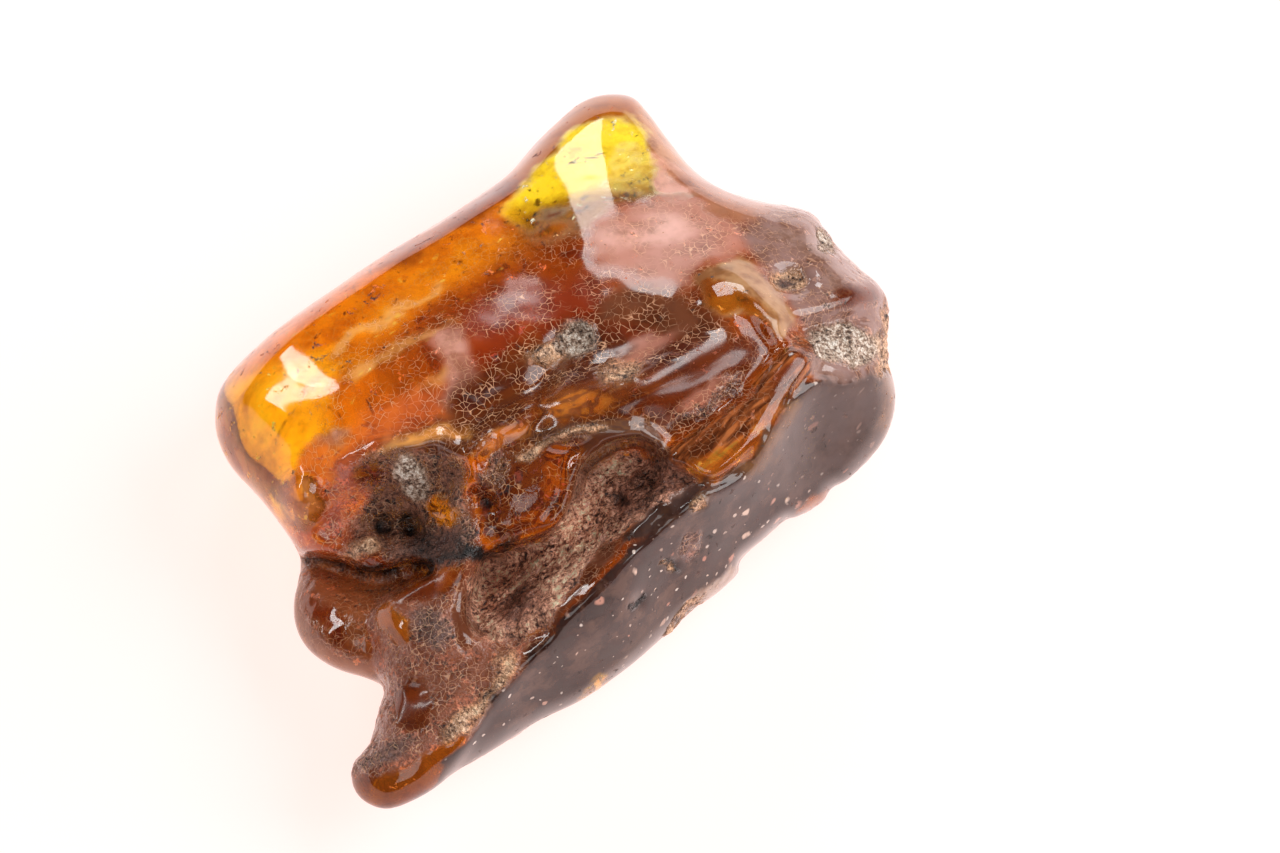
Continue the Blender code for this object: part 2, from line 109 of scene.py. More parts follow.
# How broadly the upper edge is rounded, in millimetres, at places round the outline. The slack lets
# the plate that is bent through them pass near them, and its lengths are in PLATE_UNIT_PX.
PLATE_UNIT_PX = 100
ROUNDING_SLACK = 0.5
ROUNDING_MM = [
    (230, 420, 2.2), (330, 300, 1.6), (470, 210, 1.6), (600, 110, 2.2), (700, 180, 1.7),
    (810, 220, 1.8), (880, 300, 1.8), (893, 400, 2.0), (820, 500, 1.2), (700, 600, 1.2),
    (560, 705, 1.2), (430, 785, 2.2), (370, 790, 2.6), (372, 720, 2.2), (300, 630, 3.0),
    (292, 560, 2.2), (240, 480, 2.0), (550, 450, 1.8),
]

# The lower body, which shows below the upper flow and between it and the cut face
LOWER_BODY_MM = [
    (300, 585, 7.0), (298, 625, 7.5), (335, 600, 9.6), (340, 640, 9.2), (375, 660, 8.6),
    (392, 605, 9.2), (345, 572, 5.5), (420, 578, 5.0), (470, 578, 6.5), (505, 570, 8.0),
    (545, 552, 12.5), (520, 610, 14.2), (495, 640, 13.6), (560, 605, 16.9), (600, 540, 16.4),
    (600, 490, 16.2), (640, 480, 17.8), (690, 484, 19.2), (620, 560, 18.3), (665, 514, 19.3),
    (590, 585, 17.6), (700, 492, 19.6), (540, 635, 15.6),
    (470, 470, 9.0), (600, 380, 11.0), (380, 430, 8.0), (700, 280, 11.0), (820, 320, 9.0),
    (560, 680, 8.0), (700, 560, 9.0), (820, 450, 9.0), (420, 720, 6.0), (380, 780, 4.0),
]

UPPER_FLOW_PX = [
    (180, 380), (240, 300), (400, 180), (560, 60), (660, 60), (760, 150), (860, 190), (940, 290),
    (930, 376), (888, 377), (850, 384), (818, 382), (798, 396), (776, 424), (750, 460), (724, 477),
    (700, 479), (682, 474), (667, 466), (656, 450), (640, 442), (618, 445), (600, 453), (585, 468),
    (578, 490), (573, 510), (557, 529), (540, 541), (515, 548), (492, 556), (470, 565), (448, 572),
    (425, 566), (405, 563), (390, 570), (370, 572), (348, 563), (322, 557), (296, 554), (240, 560),
]
UPPER_FLOW_MM = [
    (228, 425, 12.6), (252, 470, 11.8), (277, 512, 11.4), (262, 400, 16.0), (300, 430, 17.4),
    (300, 380, 17.8), (345, 340, 18.6), (350, 400, 19.4), (290, 500, 13.2), (330, 480, 16.4),
    (420, 280, 18.5), (500, 220, 18.1), (560, 170, 17.2), (610, 125, 15.8), (640, 135, 15.2),
    (420, 340, 20.1), (500, 290, 20.0), (570, 240, 19.3), (610, 190, 18.2), (400, 420, 19.8),
    (480, 370, 20.7), (560, 320, 20.8), (640, 260, 19.9), (680, 200, 17.9), (740, 225, 18.0),
    (800, 235, 16.4), (700, 270, 20.2), (770, 275, 19.3), (830, 270, 17.2), (870, 300, 14.8),
    (560, 400, 21.2), (640, 350, 21.7), (720, 330, 21.4), (790, 320, 20.0), (850, 340, 17.6),
    (885, 350, 14.5), (640, 420, 21.3), (720, 400, 21.3), (780, 370, 20.8), (690, 455, 20.4),
    (740, 440, 20.7), (430, 470, 18.2), (500, 450, 19.6), (560, 470, 19.2), (350, 530, 14.2),
    (410, 545, 15.2), (470, 545, 16.6), (530, 535, 16.8),
]

CUT_FACE_PX = [
    (930, 374), (888, 375), (850, 380), (820, 376), (805, 384), (786, 405), (766, 436), (747, 464),
    (722, 483), (700, 492), (676, 512), (650, 534), (620, 560), (590, 590), (562, 620), (540, 645),
    (515, 672), (490, 701), (466, 735), (447, 764), (432, 786), (420, 830), (700, 830), (940, 560),
]
CUT_FACE_MM = [
    (818, 382, 20.4), (852, 384, 17.6), (885, 380, 14.4), (762, 447, 20.9), (716, 488, 20.5),
    (660, 528, 19.6), (604, 580, 18.2), (552, 636, 16.0), (502, 692, 13.4), (464, 742, 10.6),
    (436, 785, 7.8), (897, 400, 11.6), (890, 430, 9.0), (862, 472, 7.0), (820, 503, 6.4),
    (762, 548, 6.2), (720, 592, 5.9), (660, 645, 5.5), (600, 692, 5.5), (540, 722, 6.2),
    (480, 758, 7.2), (810, 440, 14.0), (700, 550, 13.0), (600, 645, 11.2), (520, 705, 9.8),
]

SPUR_FLOW_PX = [
    (470, 552), (480, 570), (474, 590), (468, 606), (474, 628), (492, 640), (520, 640), (552, 640),
    (500, 700), (450, 780), (420, 830), (330, 830), (330, 760), (362, 738), (376, 700), (381, 682),
    (380, 655), (372, 632), (374, 612), (386, 597), (410, 582), (440, 566),
]
SPUR_FLOW_MM = [
    (394, 605, 12.6), (430, 584, 14.2), (466, 562, 16.4), (466, 600, 15.2), (430, 640, 14.2),
    (398, 650, 12.2), (480, 652, 14.4), (525, 652, 14.9), (398, 700, 11.4), (440, 700, 12.8),
    (482, 700, 13.0), (378, 750, 10.2), (420, 750, 11.2), (372, 785, 8.8), (400, 785, 9.6),
    (440, 770, 9.8),
]

CURTAIN_FLOW_PX = [
    (806, 346), (780, 352), (762, 372), (750, 392), (728, 410), (700, 428), (668, 450), (684, 468),
    (712, 482), (742, 464), (766, 436), (786, 404), (806, 378), (816, 362),
]
CURTAIN_FLOW_MM = [
    (806, 352, 21.0), (766, 380, 22.2), (790, 375, 21.6), (735, 415, 22.0), (760, 425, 21.4),
    (690, 448, 21.6), (716, 470, 21.0),
]

UNDER_LIP_PX = [
    (835, 470), (860, 500), (820, 530), (785, 540), (765, 570), (740, 620), (690, 650), (650, 640),
    (720, 560), (790, 500),
]
UNDER_LIP_MM = [(815, 505, 4.6), (740, 570, 4.4), (700, 605, 3.8), (660, 630, 3.6), (780, 500, 5.0)]

# A flow is its outline, its heights and how broadly its free edge is rounded, in millimetres
FLOWS = [
    (UPPER_FLOW_PX, UPPER_FLOW_MM, 1.6),
    (CUT_FACE_PX, CUT_FACE_MM, 0.6),
    (SPUR_FLOW_PX, SPUR_FLOW_MM, 1.4),
    (CURTAIN_FLOW_PX, CURTAIN_FLOW_MM, 0.9),
    (UNDER_LIP_PX, UNDER_LIP_MM, 0.8),
]

# Ridges and grooves along a line: the line, how wide and how high, in millimetres
CREASES = [
    ([(467, 566), (463, 540), (460, 515), (457, 498), (466, 484), (476, 478), (471, 460), (480, 444)],
     0.9, 1.5),
    ([(480, 444), (492, 430), (512, 420), (540, 404)], 0.9, 0.7),
    ([(556, 528), (570, 508), (575, 490), (580, 467), (598, 451), (620, 442), (642, 439), (655, 450),
      (668, 468)], 0.8, 1.6),
    ([(540, 432), (580, 434), (618, 429), (642, 427), (656, 440)], 0.8, 0.9),
    ([(352, 468), (382, 452), (412, 446), (438, 438), (456, 450)], 0.8, 1.1),
    ([(392, 592), (420, 578), (446, 566), (468, 558)], 0.7, 0.9),
    ([(468, 558), (473, 574), (466, 600)], 0.7, 1.0),
    ([(660, 508), (638, 528), (620, 545)], 0.8, 0.5),
    ([(756, 338), (770, 352), (752, 378), (730, 398)], 1.2, -0.8),
    ([(702, 424), (670, 444), (650, 428)], 1.2, -0.7),
    ([(792, 332), (822, 326), (846, 323), (868, 312), (892, 296)], 0.9, -1.5),
    ([(420, 690), (455, 672), (486, 650), (520, 640), (545, 628)], 1.0, -0.8),
    ([(560, 356), (540, 392), (537, 428)], 1.0, -0.8),
    ([(480, 412), (520, 392), (556, 366), (610, 340), (650, 322)], 1.3, -0.7),
]

# Lobes and pits: centre, half length, half width, turn in degrees, and height in millimetres. A higher
# power makes their tops flatter, and a higher fall makes them smaller.
LOBE_POWER = 1.5
LOBE_FALL = 0.7
LOBES = [
    (728, 292, 32, 26, 0, 1.3),
    (588, 232, 80, 40, 74, 0.45),
    (770, 318, 42, 12, 52, 0.9),
    (300, 498, 22, 15, 80, 1.6),
    (862, 296, 26, 15, -10, 1.5),
    (600, 400, 62, 26, -18, 1.3),
    (690, 372, 70, 24, -32, 1.2),
    (455, 345, 70, 30, -30, 0.5),
    (525, 490, 34, 30, -40, 0.9),
    (440, 512, 16, 13, 0, 1.2),
    (400, 626, 18, 12, 60, 0.8),
    (330, 610, 26, 20, 0, -0.8),
    (398, 515, 62, 38, -8, -2.8),
    (385, 525, 9, 8, 0, -2.0),
    (411, 526, 10, 9, 0, -2.0),
    (365, 548, 14, 10, 0, 1.4),
    (412, 482, 20, 16, 60, 1.3),
    (572, 342, 22, 14, -20, -0.8),
    (630, 352, 40, 14, -30, -0.7),
    (792, 281, 19, 12, 15, -1.5),
    (824, 240, 11, 8, 50, -1.3),
    (848, 346, 40, 16, 8, -0.9),
    (612, 505, 60, 34, -38, -1.0),
    (618, 501, 6, 6, 0, -1.6),
    (488, 503, 6, 6, 0, -1.6),
    (672, 565, 5, 4, 0, -0.8),
    (640, 600, 7, 4, -60, -0.9),
]

# The thin point where two crests of the hollow meet, which is worn down: its place, how far the wear
# reaches, and how often each vertex there is moved to the middle of its neighbours
TIP_MM = (-6.7, -17.5, 18.4)
WORN_REACH_MM = 5.0
WORN_ROUNDS = 200

# Lumps all over the skin: size and height in millimetres. The side that the map shows keeps a small
# share of them. Skin that faces away from it more than LUMPY_FACING has all of them. They fade out
# towards the flat spot.
LUMP_SIZE_MM = 9.0
LUMP_MM = 0.9
SMALL_LUMP_SIZE_MM = 3.2
SMALL_LUMP_MM = 0.35
MAPPED_SHARE = 0.15
LUMPY_FACING = -0.6
NO_LUMPS_BELOW_MM = 0.6
FULL_LUMPS_ABOVE_MM = 2.6

# What is lower than this is pressed onto the table
PRESSED_MM = 0.15

LOOK = np.array((0.0, math.cos(FACE_TILT), -math.sin(FACE_TILT)))
RIGHT = np.array((1.0, 0.0, 0.0))
UP = np.array((0.0, math.sin(FACE_TILT), math.cos(FACE_TILT)))
EYE_MM = MAP_CENTRE_MM - LOOK * SIGHT_DISTANCE_MM
EYE_SCALE = PIXELS_PER_MM * SIGHT_DISTANCE_MM

# The masks that a finish may have besides its colour
MASKS = ("clear", "crust", "crackle", "mineral", "speckle", "fleck", "fibre", "haze")

# How much the borders of the zones wander
WOBBLE_SIZE_MM = 2.5
WOBBLE_PX = 9.0
FINE_WOBBLE_SIZE_MM = 0.8
FINE_WOBBLE_PX = 4.0

# From which to which facing a vertex changes from the underside's finish to the upper side's
SEEN_FROM_TO = (-0.1, 0.12)

# Crust grains, and the waves of the crackled skin: size and height in millimetres. The skin between
# grains is sunk by GRAIN_SINK of the height, and a grain rises from there by GRAIN_GAIN of the noise.
GRAINS_MM = [(1.8, 0.34), (0.7, 0.20)]
GRAIN_GAIN = 2.0
GRAIN_SINK = 0.6
WAVES_MM = (1.5, 0.030)

# Amber
AMBER_IOR = 1.54
AMBER_SOAK = (0.998, 0.986, 0.50)
AMBER_DENSITY = 400.0
POLISH_ROUGHNESS = 0.06
HAZE_ROUGHNESS = 0.40
CRUST_ROUGHNESS = 0.5

# Below, FROM_TO is the range of a noise, a mask or a distance over which something goes from none to
# all, or between the two values that follow the range. STOPS are colours along a noise. WARP is the
# size of the noise that bends a pattern, and how far it pushes.

# Patterns that several finishes use
WAVY_WARP_MM = (0.85, 0.7)
GRAIN_MM = 0.42
GRAIN_WARP_MM = (0.6, 0.25)
PATCH_MM = 2.3
MOTTLE_STOPS = [(0.34, (0.62, 0.50, 0.42)), (0.50, (1.0, 1.0, 1.0)), (0.66, (1.15, 1.25, 1.35))]

# The net of cracks: line width as a share of a cell, and how much of the body and the light a line hides
CRACKLE_CELL_MM = 0.60
CRACKLE_COLOUR = (1.0, 0.56, 0.34)
CRACK_FROM_TO = (0.005, 0.05, 1.0, 0.0)
CRACKED_PATCH_FROM_TO = (0.60, 0.46)
CRACK_COVER = 0.8
CRACK_SHADE = 0.65

# Crust and mineral grains: how ragged the crust's edge is, its colours, and the bump of its surface
RAG_MM = 1.1
RAG_FROM_TO = (0.3, 0.7, -0.75, 0.75)
CRUST_FROM_TO = (0.46, 0.56)
CRUST_PATCHINESS = 0.5
CRUST_STOPS = [(0.35, (0.04, 0.03, 0.03)), (0.43, (0.42, 0.33, 0.26)), (0.50, (1.0, 0.92, 0.82)),
               (0.57, (1.6, 1.5, 1.35)), (0.66, (2.2, 2.1, 1.95))]
MINERAL_FROM_TO = (0.3, 0.8)
MINERAL_STOPS = [(0.38, (0.05, 0.03, 0.02)), (0.45, (0.30, 0.18, 0.12)), (0.52, (0.62, 0.46, 0.35)),
                 (0.60, (0.98, 0.89, 0.79))]
BUMP_MM = 0.4
BUMP_FROM_TO = (0.2, 0.6)
BUMP_HEIGHT_M = 0.0006
BUMP_STRENGTH = 0.9

# The cut face: soft clouds, each a range and a colour, and specks, each the size of a cell, from which
# random value a cell has a speck, the most of the cell that it covers, and two colours to mix
CLOUD_MM = 3.0
CLOUDS = [((0.48, 0.64, 0.0, 0.6), (0.16, 0.08, 0.055)), ((0.36, 0.47, 0.7, 0.0), (0.05, 0.032, 0.028))]
SPECKS = [(0.75, 0.50, 0.36, (0.46, 0.29, 0.23), (0.80, 0.68, 0.60)),
          (1.7, 0.25, 0.34, (0.50, 0.19, 0.13), (0.80, 0.60, 0.48))]
CHOSEN_STEP = 0.04
SPECK_RARITY = 2.5
LEAST_SPECK_SHARE = 0.25
SPECK_FROM_TO = (0.6, 1.0, 1.0, 0.0)

# Flecks along the fissures inside the dome
FLECK_MM = 0.85
FISSURE_WAY = (0.77, 0.63, 0.0)
FISSURE_STRETCH = 0.45
GOLD_FLECK = (1.0, 0.60, 0.10)
DARK_FLECK = (0.10, 0.035, 0.01)
FLECK_CHOSEN_FROM_TO = (0.40, 0.44)
FLECK_FROM_TO = (0.10, 0.26, 1.0, 0.0)
FLECKED_PATCH_FROM_TO = (0.44, 0.58)
DARK_CHOSEN_FROM_TO = (0.88, 0.90)
FLECK_SHADE = 0.7

# Threads down the curtain
THREAD_MM = 0.45
THREAD_WARP_MM = (3.0, 0.8)
THREAD_WAY = (-0.63, -0.77, 0.0)
THREAD_STRETCH = 0.9
THREAD_STOPS = [(0.36, (0.35, 0.30, 0.25)), (0.50, (1.0, 1.0, 1.0)), (0.60, (2.2, 2.4, 2.4))]

# Camera and light, in metres and watts. A panel is its name, the way to it from the stone, its width,
# height, turn in degrees and power.
LENS_MM = 135.0
SENSOR_MM = 36.0
NEAREST_SEEN = 0.01
FLOOR_SIZE = 3.0
FLOOR_COLOUR = (0.20, 0.29, 0.34)
FLOOR_GLOW = 1.12
FLOOR_GLOW_COLOUR = (1.0, 0.70, 0.63)
FLOOR_ROUGHNESS = 0.9
WORLD_STRENGTH = 0.06
PANEL_DISTANCE = 0.6
PANEL_AIM_HEIGHT = 0.011
PANELS = [
    ("right_softbox", (0.80, 0.14, 0.58), 0.56, 0.50, 0, 4.0),
    ("front_softbox", (-0.10, -0.66, 0.74), 0.44, 0.34, 0, 1.0),
    ("drop_lamp", (0.43, 0.31, 0.85), 0.04, 0.07, 30, 0.06),
    ("back_window", (0.033, 0.875, 0.483), 0.20, 0.205, -66, 0.85),
    ("left_window", (-0.79, 0.39, 0.47), 0.367, 0.054, -31, 0.56),
    ("left_lamp", (-0.625, 0.60, 0.50), 0.058, 0.057, -8, 0.10),
]


def on_map(points):
    """Where points of the stone, in millimetres, are on the map, in pixels."""
    away = points - EYE_MM
    depth = away @ LOOK
    across = MAP_CENTRE_PX[0] + EYE_SCALE * (away @ RIGHT) / depth
    down = MAP_CENTRE_PX[1] - EYE_SCALE * (away @ UP) / depth
    return across, down


def map_grid():
    (left, top), (right, bottom) = MAP_CORNERS_PX
    return np.meshgrid(
        np.arange(left, right, MAP_STEP_PX), np.arange(top, bottom, MAP_STEP_PX)
    )


GRID_X, GRID_Y = map_grid()


def read_map(values, across, down):
    """A map's values at places between its grid points."""
    rows, columns = GRID_X.shape
    column = np.clip((across - GRID_X[0, 0]) / MAP_STEP_PX, 0, columns - JUST_OVER_ONE)
    row = np.clip((down - GRID_Y[0, 0]) / MAP_STEP_PX, 0, rows - JUST_OVER_ONE)
    i, j = row.astype(int), column.astype(int)
    v, u = row - i, column - j
    upper = values[i, j] * (1 - u) + values[i, j + 1] * u
    lower = values[i + 1, j] * (1 - u) + values[i + 1, j + 1] * u
    return upper * (1 - v) + lower * v


def smooth_loop(points, parts=4):
    """A closed Catmull-Rom curve through the points, as a finer list of points."""
    p = np.array(points, float)
    before, after, later = np.roll(p, 1, 0), np.roll(p, -1, 0), np.roll(p, -2, 0)
    slope = after - before
    bend = 2 * before - 5 * p + 4 * after - later
    twist = 3 * p - before - 3 * after + later
    fine = [0.5 * (2 * p + slope * t + bend * t**2 + twist * t**3) for t in np.arange(parts) / parts]
    return np.stack(fine, 1).reshape(-1, 2)


def distance_to(line, closed=False):
    """Millimetres from each place on the map to a line."""
    line = np.array(line, float)
    ends = np.roll(line, -1, 0) if closed else line[1:]
    nearest = np.full(GRID_X.shape, np.inf)
    for (ax, ay), (bx, by) in zip(line, ends):
        dx, dy = bx - ax, by - ay
        along = ((GRID_X - ax) * dx + (GRID_Y - ay) * dy) / (dx * dx + dy * dy)
        along = np.clip(along, 0, 1)
        gap = np.hypot(GRID_X - ax - along * dx, GRID_Y - ay - along * dy)
        nearest = np.minimum(nearest, gap)
    return nearest / PIXELS_PER_MM


def depth_inside(outline):
    """Millimetres inside an outline, negative outside it."""
    loop = smooth_loop(outline)
    inside = np.zeros(GRID_X.shape, bool)
    for (ax, ay), (bx, by) in zip(loop, np.roll(loop, -1, 0)):
        if ay == by:
            continue
        spans = (ay > GRID_Y) != (by > GRID_Y)
        inside ^= spans & (GRID_X < ax + (GRID_Y - ay) * (bx - ax) / (by - ay))
    return np.where(inside, 1, -1) * distance_to(loop, closed=True)


def plate_kernel(squared):
    return squared * np.log(squared + NEXT_TO_ZERO)


def bent_plate(heights, slack=0.0):
    """A map of a thin plate bent through the listed places and heights, or near them with slack."""
    known = np.array(heights, float)
    xy, z = known[:, :2] / PLATE_UNIT_PX, known[:, 2]
    gaps = ((xy[:, None] - xy[None]) ** 2).sum(2)
    flat = np.hstack([np.ones((len(xy), 1)), xy])
    bent = plate_kernel(gaps) + slack * np.eye(len(xy))
    system = np.block([[bent, flat], [flat.T, np.zeros((3, 3))]])
    weights = np.linalg.solve(system, np.concatenate([z, np.zeros(3)]))
    gx, gy = GRID_X / PLATE_UNIT_PX, GRID_Y / PLATE_UNIT_PX
    plate = weights[-3] + weights[-2] * gx + weights[-1] * gy
    for (x, y), weight in zip(xy, weights):
        plate += weight * plate_kernel((gx - x) ** 2 + (gy - y) ** 2)
    return plate


def in_ellipse(x, y, half_length, half_width, turn):
    """How far places on the map are along and across an ellipse, as shares of its halves."""
    c, s = math.cos(math.radians(turn)), math.sin(math.radians(turn))
    along = ((GRID_X - x) * c + (GRID_Y - y) * s) / half_length
    side = (-(GRID_X - x) * s + (GRID_Y - y) * c) / half_width
    return along, side


def lobe(*ellipse, height):
    """A round-topped lobe, or a pit where the height is negative."""
    along, side = in_ellipse(*ellipse)
    return height * np.exp(-((along**2 + side**2) ** LOBE_POWER) * LOBE_FALL)


def relief():
    """What the creases, lobes and pits add to the height, in millimetres."""
    total = np.zeros(GRID_X.shape)
    for line, width, height in CREASES:
        total += height * np.exp(-((distance_to(line) / width) ** 2))
    for *ellipse, height in LOBES:
        total += lobe(*ellipse, height=height)
    return total


def blurred(values, rounds):
    for _ in range(rounds):
        padded = np.pad(values, 1, mode="edge")
        values = (padded[:-2, 1:-1] + padded[2:, 1:-1] + padded[1:-1, :-2] + padded[1:-1, 2:]) / 4
    return values


def belly():
    """Height of the underside over the table."""
    away = np.hypot(*in_ellipse(*SPOT_PX, *BELLY_REACH_PX, 0))
    return BELLY_RISE_MM * np.maximum(0, away - SPOT_SHARE) ** 2


def quarter_round(plan):
    """How far a rounded edge has dropped, as a share of its radius: none at 0, all at 1."""
    return 1 - np.sqrt(1 - np.clip(plan, 0, 1) ** 2)


def crown():
    """Height of the upper side over the table, with every flow on it and no outer edge."""
    added = relief()
    height = bent_plate(LOWER_BODY_MM)
    for outline, heights, edge in FLOWS:
        depth = depth_inside(outline)
        flow = bent_plate(heights) - edge * quarter_round(1 - depth / edge)
        height = -melted(-height, -np.where(depth > 0, flow, UNDER_ALL_MM), MELT_MM)
    return blurred(height + added, CROWN_BLURS)


class Stone:
    """The maps of the stone, and from them how far a point is outside its skin."""

    def __init__(self):
        self.rim = depth_inside(OUTLINE_PX)
        self.under = belly()
        self.crown = crown()
        thickness = blurred(self.crown, EDGE_BLURS) - self.under
        half = np.maximum(thickness / 2, LEAST_EDGE_MM)
        self.rounding = np.clip(bent_plate(ROUNDING_MM, ROUNDING_SLACK), *ROUNDING_RANGE_MM)
        self.top_edge = np.minimum(TOP_EDGE_MM, half)
        self.under_edge = np.minimum(UNDER_EDGE_MM, half)

    def outside(self, points):
        """Rough distance of points from the skin, in millimetres, negative inside the stone."""
        x, y = on_map(points)
        rim = read_map(self.rim, x, y)
        tall = read_map(self.top_edge, x, y)
        rise = 1 + (points[:, 2] - read_map(self.crown, x, y)) / tall
        above = rounded_corner(1 - rim / read_map(self.rounding, x, y), rise) * tall
        tall = read_map(self.under_edge, x, y)
        rise = 1 + (read_map(self.under, x, y) - points[:, 2]) / tall
        below = rounded_corner(1 - rim / UNDER_REACH_MM, rise) * tall
        return -melted(-above, -below, RIM_MELT_MM)


def rounded_corner(plan, rise):
    """How far outside a quarter-round edge a place is, as a share of the edge's own size."""
    round_part = np.hypot(np.maximum(plan, 0), np.maximum(rise, 0))
    return round_part + np.minimum(np.maximum(plan, rise), 0) - 1


def melted(a, b, reach):
    """The lesser of two distances, with the corner between them rounded."""
    mix = np.maximum(reach - np.abs(a - b), 0) / reach
    return np.minimum(a, b) - mix * mix * reach / 4


def read_points(mesh):
    points = np.empty(len(mesh.vertices) * 3)
    mesh.vertices.foreach_get("co", points)
    return points.reshape(-1, 3)


def read_normals(mesh):
    normals = np.empty(len(mesh.vertices) * 3)
    mesh.vertices.foreach_get("normal", normals)
    return normals.reshape(-1, 3)


def write_points(mesh, points):
    mesh.vertices.foreach_set("co", points.ravel())
    mesh.update()


def steepest(stone, points):
    """How the distance from the skin changes along each axis."""
    change = [
        stone.outside(points + SLOPE_STEP_MM * axis) - stone.outside(points - SLOPE_STEP_MM * axis)
        for axis in np.eye(3)
    ]
    return np.stack(change, 1) / (2 * SLOPE_STEP_MM)


def settle(obj, stone):
    """Moves each vertex towards the skin, along the way that the distance falls fastest."""
    points = read_points(obj.data)
    for _ in range(SETTLE_ROUNDS):
        slope = steepest(stone, points)
        square = np.maximum((slope**2).sum(1), LEAST_SLOPE)
        move = -(stone.outside(points) / square)[:, None] * slope
        length = np.linalg.norm(move, axis=1, keepdims=True)
        points = points + move * np.minimum(1, SETTLE_MOST_MM / np.maximum(length, NEXT_TO_ZERO))
    write_points(obj.data, points)


def wear_tip(obj):
    """Wears down the thin point, wholly within half the reach and less and less beyond it."""
    mesh = obj.data
    points = read_points(mesh)
    ends = np.empty(len(mesh.edges) * 2, dtype=np.int32)
    mesh.edges.foreach_get("vertices", ends)
    ends = ends.reshape(-1, 2)
    away = np.linalg.norm(points - np.array(TIP_MM), axis=1, keepdims=True)
    share = np.clip(2 - 2 * away / WORN_REACH_MM, 0, 1)
    ends = ends[share[ends, 0].max(1) > 0]
    count = np.maximum(np.bincount(ends.ravel(), minlength=len(points)), 1)[:, None]
    for _ in range(WORN_ROUNDS):
        total = np.zeros_like(points)
        np.add.at(total, ends[:, 0], points[ends[:, 1]])
        np.add.at(total, ends[:, 1], points[ends[:, 0]])
        points = points + (total / count - points) * share
    write_points(mesh, points)


def apply_modifier(obj, kind, **settings):
    modifier = obj.modifiers.new(kind.title(), kind)
    for name, value in settings.items():
        setattr(modifier, name, value)
    bpy.context.view_layer.objects.active = obj
    bpy.ops.object.modifier_apply(modifier=modifier.name)


def add_lumps(obj):
    """Natural unevenness along the normals, least on the side that the map shows."""
    mesh = obj.data
    points, normals = read_points(mesh), read_normals(mesh)
    mapped = np.clip(1 - normals @ -LOOK / LUMPY_FACING, 0, 1)
    fade = (points[:, 2] - NO_LUMPS_BELOW_MM) / (FULL_LUMPS_ABOVE_MM - NO_LUMPS_BELOW_MM)
    amount = (1 - (1 - MAPPED_SHARE) * mapped) * np.clip(fade, 0, 1)
    lumps = [
        LUMP_MM * noise.noise(p / LUMP_SIZE_MM) + SMALL_LUMP_MM * noise.noise(p / SMALL_LUMP_SIZE_MM)
        for p in map(Vector, points)
    ]
    write_points(mesh, points + normals * (np.array(lumps) * amount)[:, None])


def press_flat(obj):
    """The flat spot: what is next to the table is pressed onto it."""
    points = read_points(obj.data)
    points[points[:, 2] < PRESSED_MM, 2] = 0
    write_points(obj.data, points)


